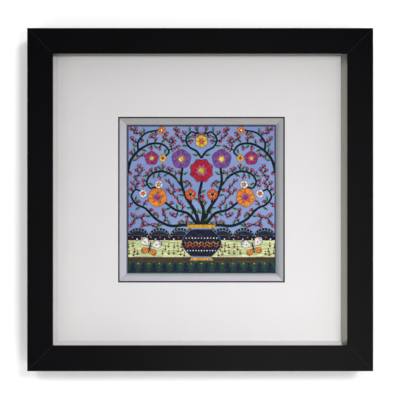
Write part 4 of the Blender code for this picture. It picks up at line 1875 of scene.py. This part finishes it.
@dataclass
class Slip:
    """The four silver-grey lengths round the cloth, each with its own tone of painted light and shade, and
    painted shade at its sight edge.
    """

    # Painted light and shade: the left and bottom lengths are set lighter and the top and right darker, as
    # the light falls; the right and bottom carry a wider painted shade at the sight edge.
    lit_and_shaded_paints: dict[str, SilverPaint] = field(
        default_factory=lambda: {
            "left": SilverPaint((186, 184, 190), (166, 165, 172)),
            "top": SilverPaint((163, 161, 160), (143, 141, 140)),
            "right": SilverPaint((158, 160, 162), (136, 139, 142), 0.0055, 0.0, 0.6),
            "bottom": SilverPaint((184, 183, 192), (164, 163, 172), 0.004, 0.0, 0.4),
        }
    )
    filler: Filler = Filler((150, 150, 156), "slip_silver")
    sunk: float = 0.15 * MM
    flange: float = 6.0 * MM
    edge_thickness: float = 1.2 * MM

    def opening(self) -> tuple[Vector, Vector]:
        """Give the middle and the half sizes of the slip's opening."""
        low = Vector((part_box("slip_left")[1].x, 0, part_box("slip_bottom")[1].z))
        high = Vector((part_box("slip_right")[0].x, 0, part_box("slip_top")[0].z))
        return (low + high) / 2, (high - low) / 2

    def dress(self) -> None:
        """Paint the slip, each length along its own run, and fill its mitres."""
        middle, half = self.opening()
        for side, silver in self.lit_and_shaded_paints.items():
            paint(f"slip_{side}", silver.material(f"silver_{side}", Grain.of(side), middle, half))
        corners = [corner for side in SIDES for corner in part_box(f"slip_{side}")]
        low, high = (Vector(tuple(pick(axis) for axis in zip(*corners))) for pick in (min, max))
        front, back = low.y + self.sunk, high.y - self.sunk
        sight = middle.x - half.x - low.x - self.sunk
        edge = high.y - self.edge_thickness + self.sunk
        section = [(self.sunk, back), (sight, back), (sight, edge), (self.flange, front), (self.sunk, front)]
        self.filler.fill("slip_filler", section, low, high)


@dataclass
class Cloth:
    """The stretched cloth and the design worked on it."""

    slip: Slip
    thickness: float = 1.5 * MM
    steps: int = 96
    ripple: float = 0.06 * MM
    ripple_sink: float = 0.4
    ripple_turns: Route = ((310.0, 90.0), (-130.0, 240.0), (420.0, 380.0))

    def build(self) -> None:
        low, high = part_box("embroidered_cloth")
        middle, half = self.slip.opening()
        panel = Panel(middle.x, middle.z, half.x, half.z, high.y - self.thickness)
        cloth = show(self.mesh(low, high, panel), WovenCloth().material("woven_periwinkle"))
        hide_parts("embroidered_cloth")
        basket = Workbasket(panel)
        work_design(Sewing(basket, half.x / MM, half.z / MM))
        threads = basket.pieces()

    def mesh(self, low: Vector, high: Vector, panel: Panel) -> Mesh:
        """Make the sheet: two grids, joined round their rims.

        The back is flat. The front carries crossing sine ripples, as of cloth drawn in by its
        stitches, which die away towards its rim.

        Args:
            low: The cloth's lowest corner.
            high: Its highest corner.
            panel: The part of it that shows.

        Returns:
            The closed sheet.
        """
        count = self.steps + 1
        x = np.linspace(low.x, high.x, count)[:, None] + np.zeros((1, count))
        z = np.linspace(low.z, high.z, count)[None] + np.zeros((count, 1))
        waves = sum(np.sin(turn_x * x + turn_z * z) for turn_x, turn_z in self.ripple_turns)
        fade = np.sin(np.linspace(0, math.pi, count)) ** 0.5
        height = waves / len(self.ripple_turns) - self.ripple_sink
        front = panel.front + self.ripple * height * fade[:, None] * fade[None]
        back = np.full_like(front, high.y)
        points = np.concatenate([np.stack([x, y, z], axis=-1).reshape(-1, 3) for y in (front, back)])
        number = np.arange(count * count).reshape(count, count)
        quads = np.stack([number[:-1, :-1], number[1:, :-1], number[1:, 1:], number[:-1, 1:]], axis=-1)
        quads = quads.reshape(-1, 4)
        rim = np.concatenate([number[:-1, 0], number[-1, :-1], number[:0:-1, -1], number[0, :0:-1]])
        beside = np.roll(rim, -1)
        behind = count * count
        sides = np.stack([beside, rim, rim + behind, beside + behind], axis=1)
        return make_mesh("woven_cloth", points, [quads, quads[:, ::-1] + behind, sides])


def paint(node: str, material: Material) -> None:
    """Give a node of the frame its finish."""
    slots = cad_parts[node].data.materials
    slots.clear()
    slots.append(material)
    log.info("%s: %s", node, material.name)


# The studio


class Reach(Enum):
    """What a light falls on."""

    PICTURE = "picture"
    WALL = "wall"
    RAILS = "rails"
    ALL = "all"


@dataclass(frozen=True)
class Softbox:
    """A soft square light: where it stands, its size and power, its target, fan and reach."""

    name: str
    place: Triple
    size: float
    power: float
    target: Triple = (0.0, 0.0, 0.0)
    spread_deg: float = 180.0
    reach: Reach = Reach.PICTURE

    def build(self, wall: Object) -> None:
        """Put the light in the scene and limit what it falls on; one on the rails only adds gloss."""
        light = bpy.data.lights.new(self.name, "AREA")
        light.spread = math.radians(self.spread_deg)
        light.shape = "SQUARE"
        light.size = self.size
        light.energy = self.power
        lamp = bpy.data.objects.new(self.name, light)
        lamp.location = self.place
        way = Vector(self.target) - Vector(self.place)
        lamp.rotation_euler = way.to_track_quat("-Z", "Y").to_euler()
        lamp.visible_diffuse = self.reach is not Reach.RAILS
        bpy.context.scene.collection.objects.link(lamp)
        if self.reach is not Reach.ALL:
            rails = [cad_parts[f"rail_{side}"] for side in SIDES]
            group = bpy.data.collections.new(f"{self.name}_reach")
            for thing in rails if self.reach is Reach.RAILS else [wall]:
                group.objects.link(thing)
            if self.reach is Reach.PICTURE:
                group.collection_objects[0].light_linking.link_state = "EXCLUDE"
            lamp.light_linking.receiver_collection = group


@dataclass
class Studio:
    """A pale wall and floor, soft lights round the picture, and the camera."""

    eye: Triple = (-0.000175, -0.736, -0.0004)
    lens: float = 63.0
    sensor: float = 36.0
    wall_gap: float = 0.0006
    floor_z: float = -0.6
    reach: float = 1.6
    paper: Colour = (250, 250, 250)
    shade: Colour = (28, 28, 31)
    shade_from: float = -0.0015
    shade_full: float = -0.003
    mottle: Noise = Noise(40.0, 2.0)
    mottle_share: float = 0.97
    floor_roughness: float = 0.9
    glow: float = 0.01
    air_glow: float = 0.48
    lights: tuple[Softbox, ...] = (
        Softbox("wall_low_light", (0.89, -2.0, -0.32), 0.44, 6.9, reach=Reach.WALL),
        Softbox("wall_top_light", (-0.3, -2.0, 0.84), 0.3, 10.2, reach=Reach.WALL),
        Softbox("wall_side_light", (0.86, -2.0, 0.7), 0.4, 18.8, reach=Reach.WALL),
        Softbox("front_light", (0.0, -1.6, 0.02), 0.2, 6.2),
        Softbox("left_light", (-0.8, -1.6, -0.3), 0.7, 2.9),
        Softbox("near_light", (0.17, -0.8, 0.04), 0.35, 1.03, (0.24, 0.0, -0.34), 90.0),
        Softbox("gloss_light", (0.16, -0.56, -0.38), 0.34, 3.2, (0.1, 0.0, -0.17), reach=Reach.RAILS),
        Softbox("rear_light", (1.1, 1.6, 0.0), 0.8, 24.0, reach=Reach.ALL),
    )

    def build(self) -> None:
        """Set up the wall, the floor, the lights, the world and the camera."""
        corners = [(-1, -1), (1, -1), (1, 1), (-1, 1)]
        wall = self.plane("studio_wall", [(x, 0, z) for x, z in corners], self.wall_paper())
        floor = self.plane("studio_floor", [(x, y, 0) for x, y in corners], self.floor_paper())
        wall.location = (0, self.wall_gap, self.floor_z + self.reach)
        floor.location = (0, 0, self.floor_z)
        for light in self.lights:
            light.build(wall)
        self.world()
        self.camera()

    def plane(self, name: str, corners: list[Triple], material: Material) -> Object:
        """Make a flat square of the studio."""
        mesh = bpy.data.meshes.new(name)
        mesh.from_pydata([Vector(corner) * self.reach for corner in corners], [], [(0, 1, 2, 3)])
        mesh.materials.append(material)
        square = bpy.data.objects.new(name, mesh)
        bpy.context.scene.collection.objects.link(square)
        return square

    def floor_paper(self) -> Material:
        """Mix the pale floor, with a faint mottle."""
        recipe = Recipe("floor_paper")
        mottle = recipe.noise(recipe.place(), self.mottle)
        shade = dimmed(self.paper, self.mottle_share)
        colour = recipe.blend(mottle, linear(shade), linear(self.paper))
        return recipe.coat({"Base Color": colour, "Roughness": self.floor_roughness})

    def wall_paper(self) -> Material:
        """Mix the pale wall: shaded behind the picture, and clear to light and the eye from behind."""
        recipe = Recipe("wall_paper")
        x, _, z = recipe.axes(recipe.place())
        hidden = (abs(x) - cad_high.x).most(abs(z + self.floor_z + self.reach) - cad_high.z)
        shaded = hidden.rising(self.shade_from, self.shade_full)
        colour = recipe.blend(shaded, linear(self.paper), linear(self.shade))
        sockets = {"Base Color": colour, "Roughness": 1.0, "Specular IOR Level": 0.0}
        sockets |= {"Emission Color": colour, "Emission Strength": self.glow}
        matt = recipe.node("ShaderNodeBsdfPrincipled", {}, sockets)
        clear = recipe.node("ShaderNodeBsdfTransparent", {}, {})
        behind = Tap(recipe, recipe.node("ShaderNodeNewGeometry", {}, {}).outputs["Backfacing"])
        shadow = Tap(recipe, recipe.node("ShaderNodeLightPath", {}, {}).outputs["Is Shadow Ray"])
        shaders = {0: behind.most(shadow), 1: matt.outputs[0], 2: clear.outputs[0]}
        seen = recipe.node("ShaderNodeMixShader", {}, shaders)
        recipe.node("ShaderNodeOutputMaterial", {}, {"Surface": seen.outputs[0]})
        return recipe.material

    def world(self) -> None:
        """Fill the room with even pale light."""
        world = bpy.data.worlds.new("studio_air")
        world.use_nodes = True
        air = world.node_tree.nodes["Background"]
        air.inputs["Color"].default_value = (1.0, 1.0, 1.0, 1.0)
        air.inputs["Strength"].default_value = self.air_glow
        bpy.context.scene.world = world
        bpy.context.scene.view_settings.view_transform = "Standard"

    def camera(self) -> None:
        """Set the camera square to the picture, a little over twice its width away."""
        lens = bpy.data.cameras.new("studio_camera")
        lens.lens = self.lens
        lens.sensor_width = self.sensor
        eye = bpy.data.objects.new("studio_camera", lens)
        eye.location = self.eye
        eye.rotation_euler = (math.pi / 2, 0, 0)
        bpy.context.scene.collection.objects.link(eye)
        bpy.context.scene.camera = eye


def main() -> None:
    """Build the studio, dress the frame and work the embroidery."""
    logging.basicConfig(level=logging.INFO, format="%(message)s")
    Studio().build()
    Rails().dress()
    Boards().dress()
    slip = Slip()
    slip.dress()
    Cloth(slip).build()


if __name__ == "__main__":
    main()
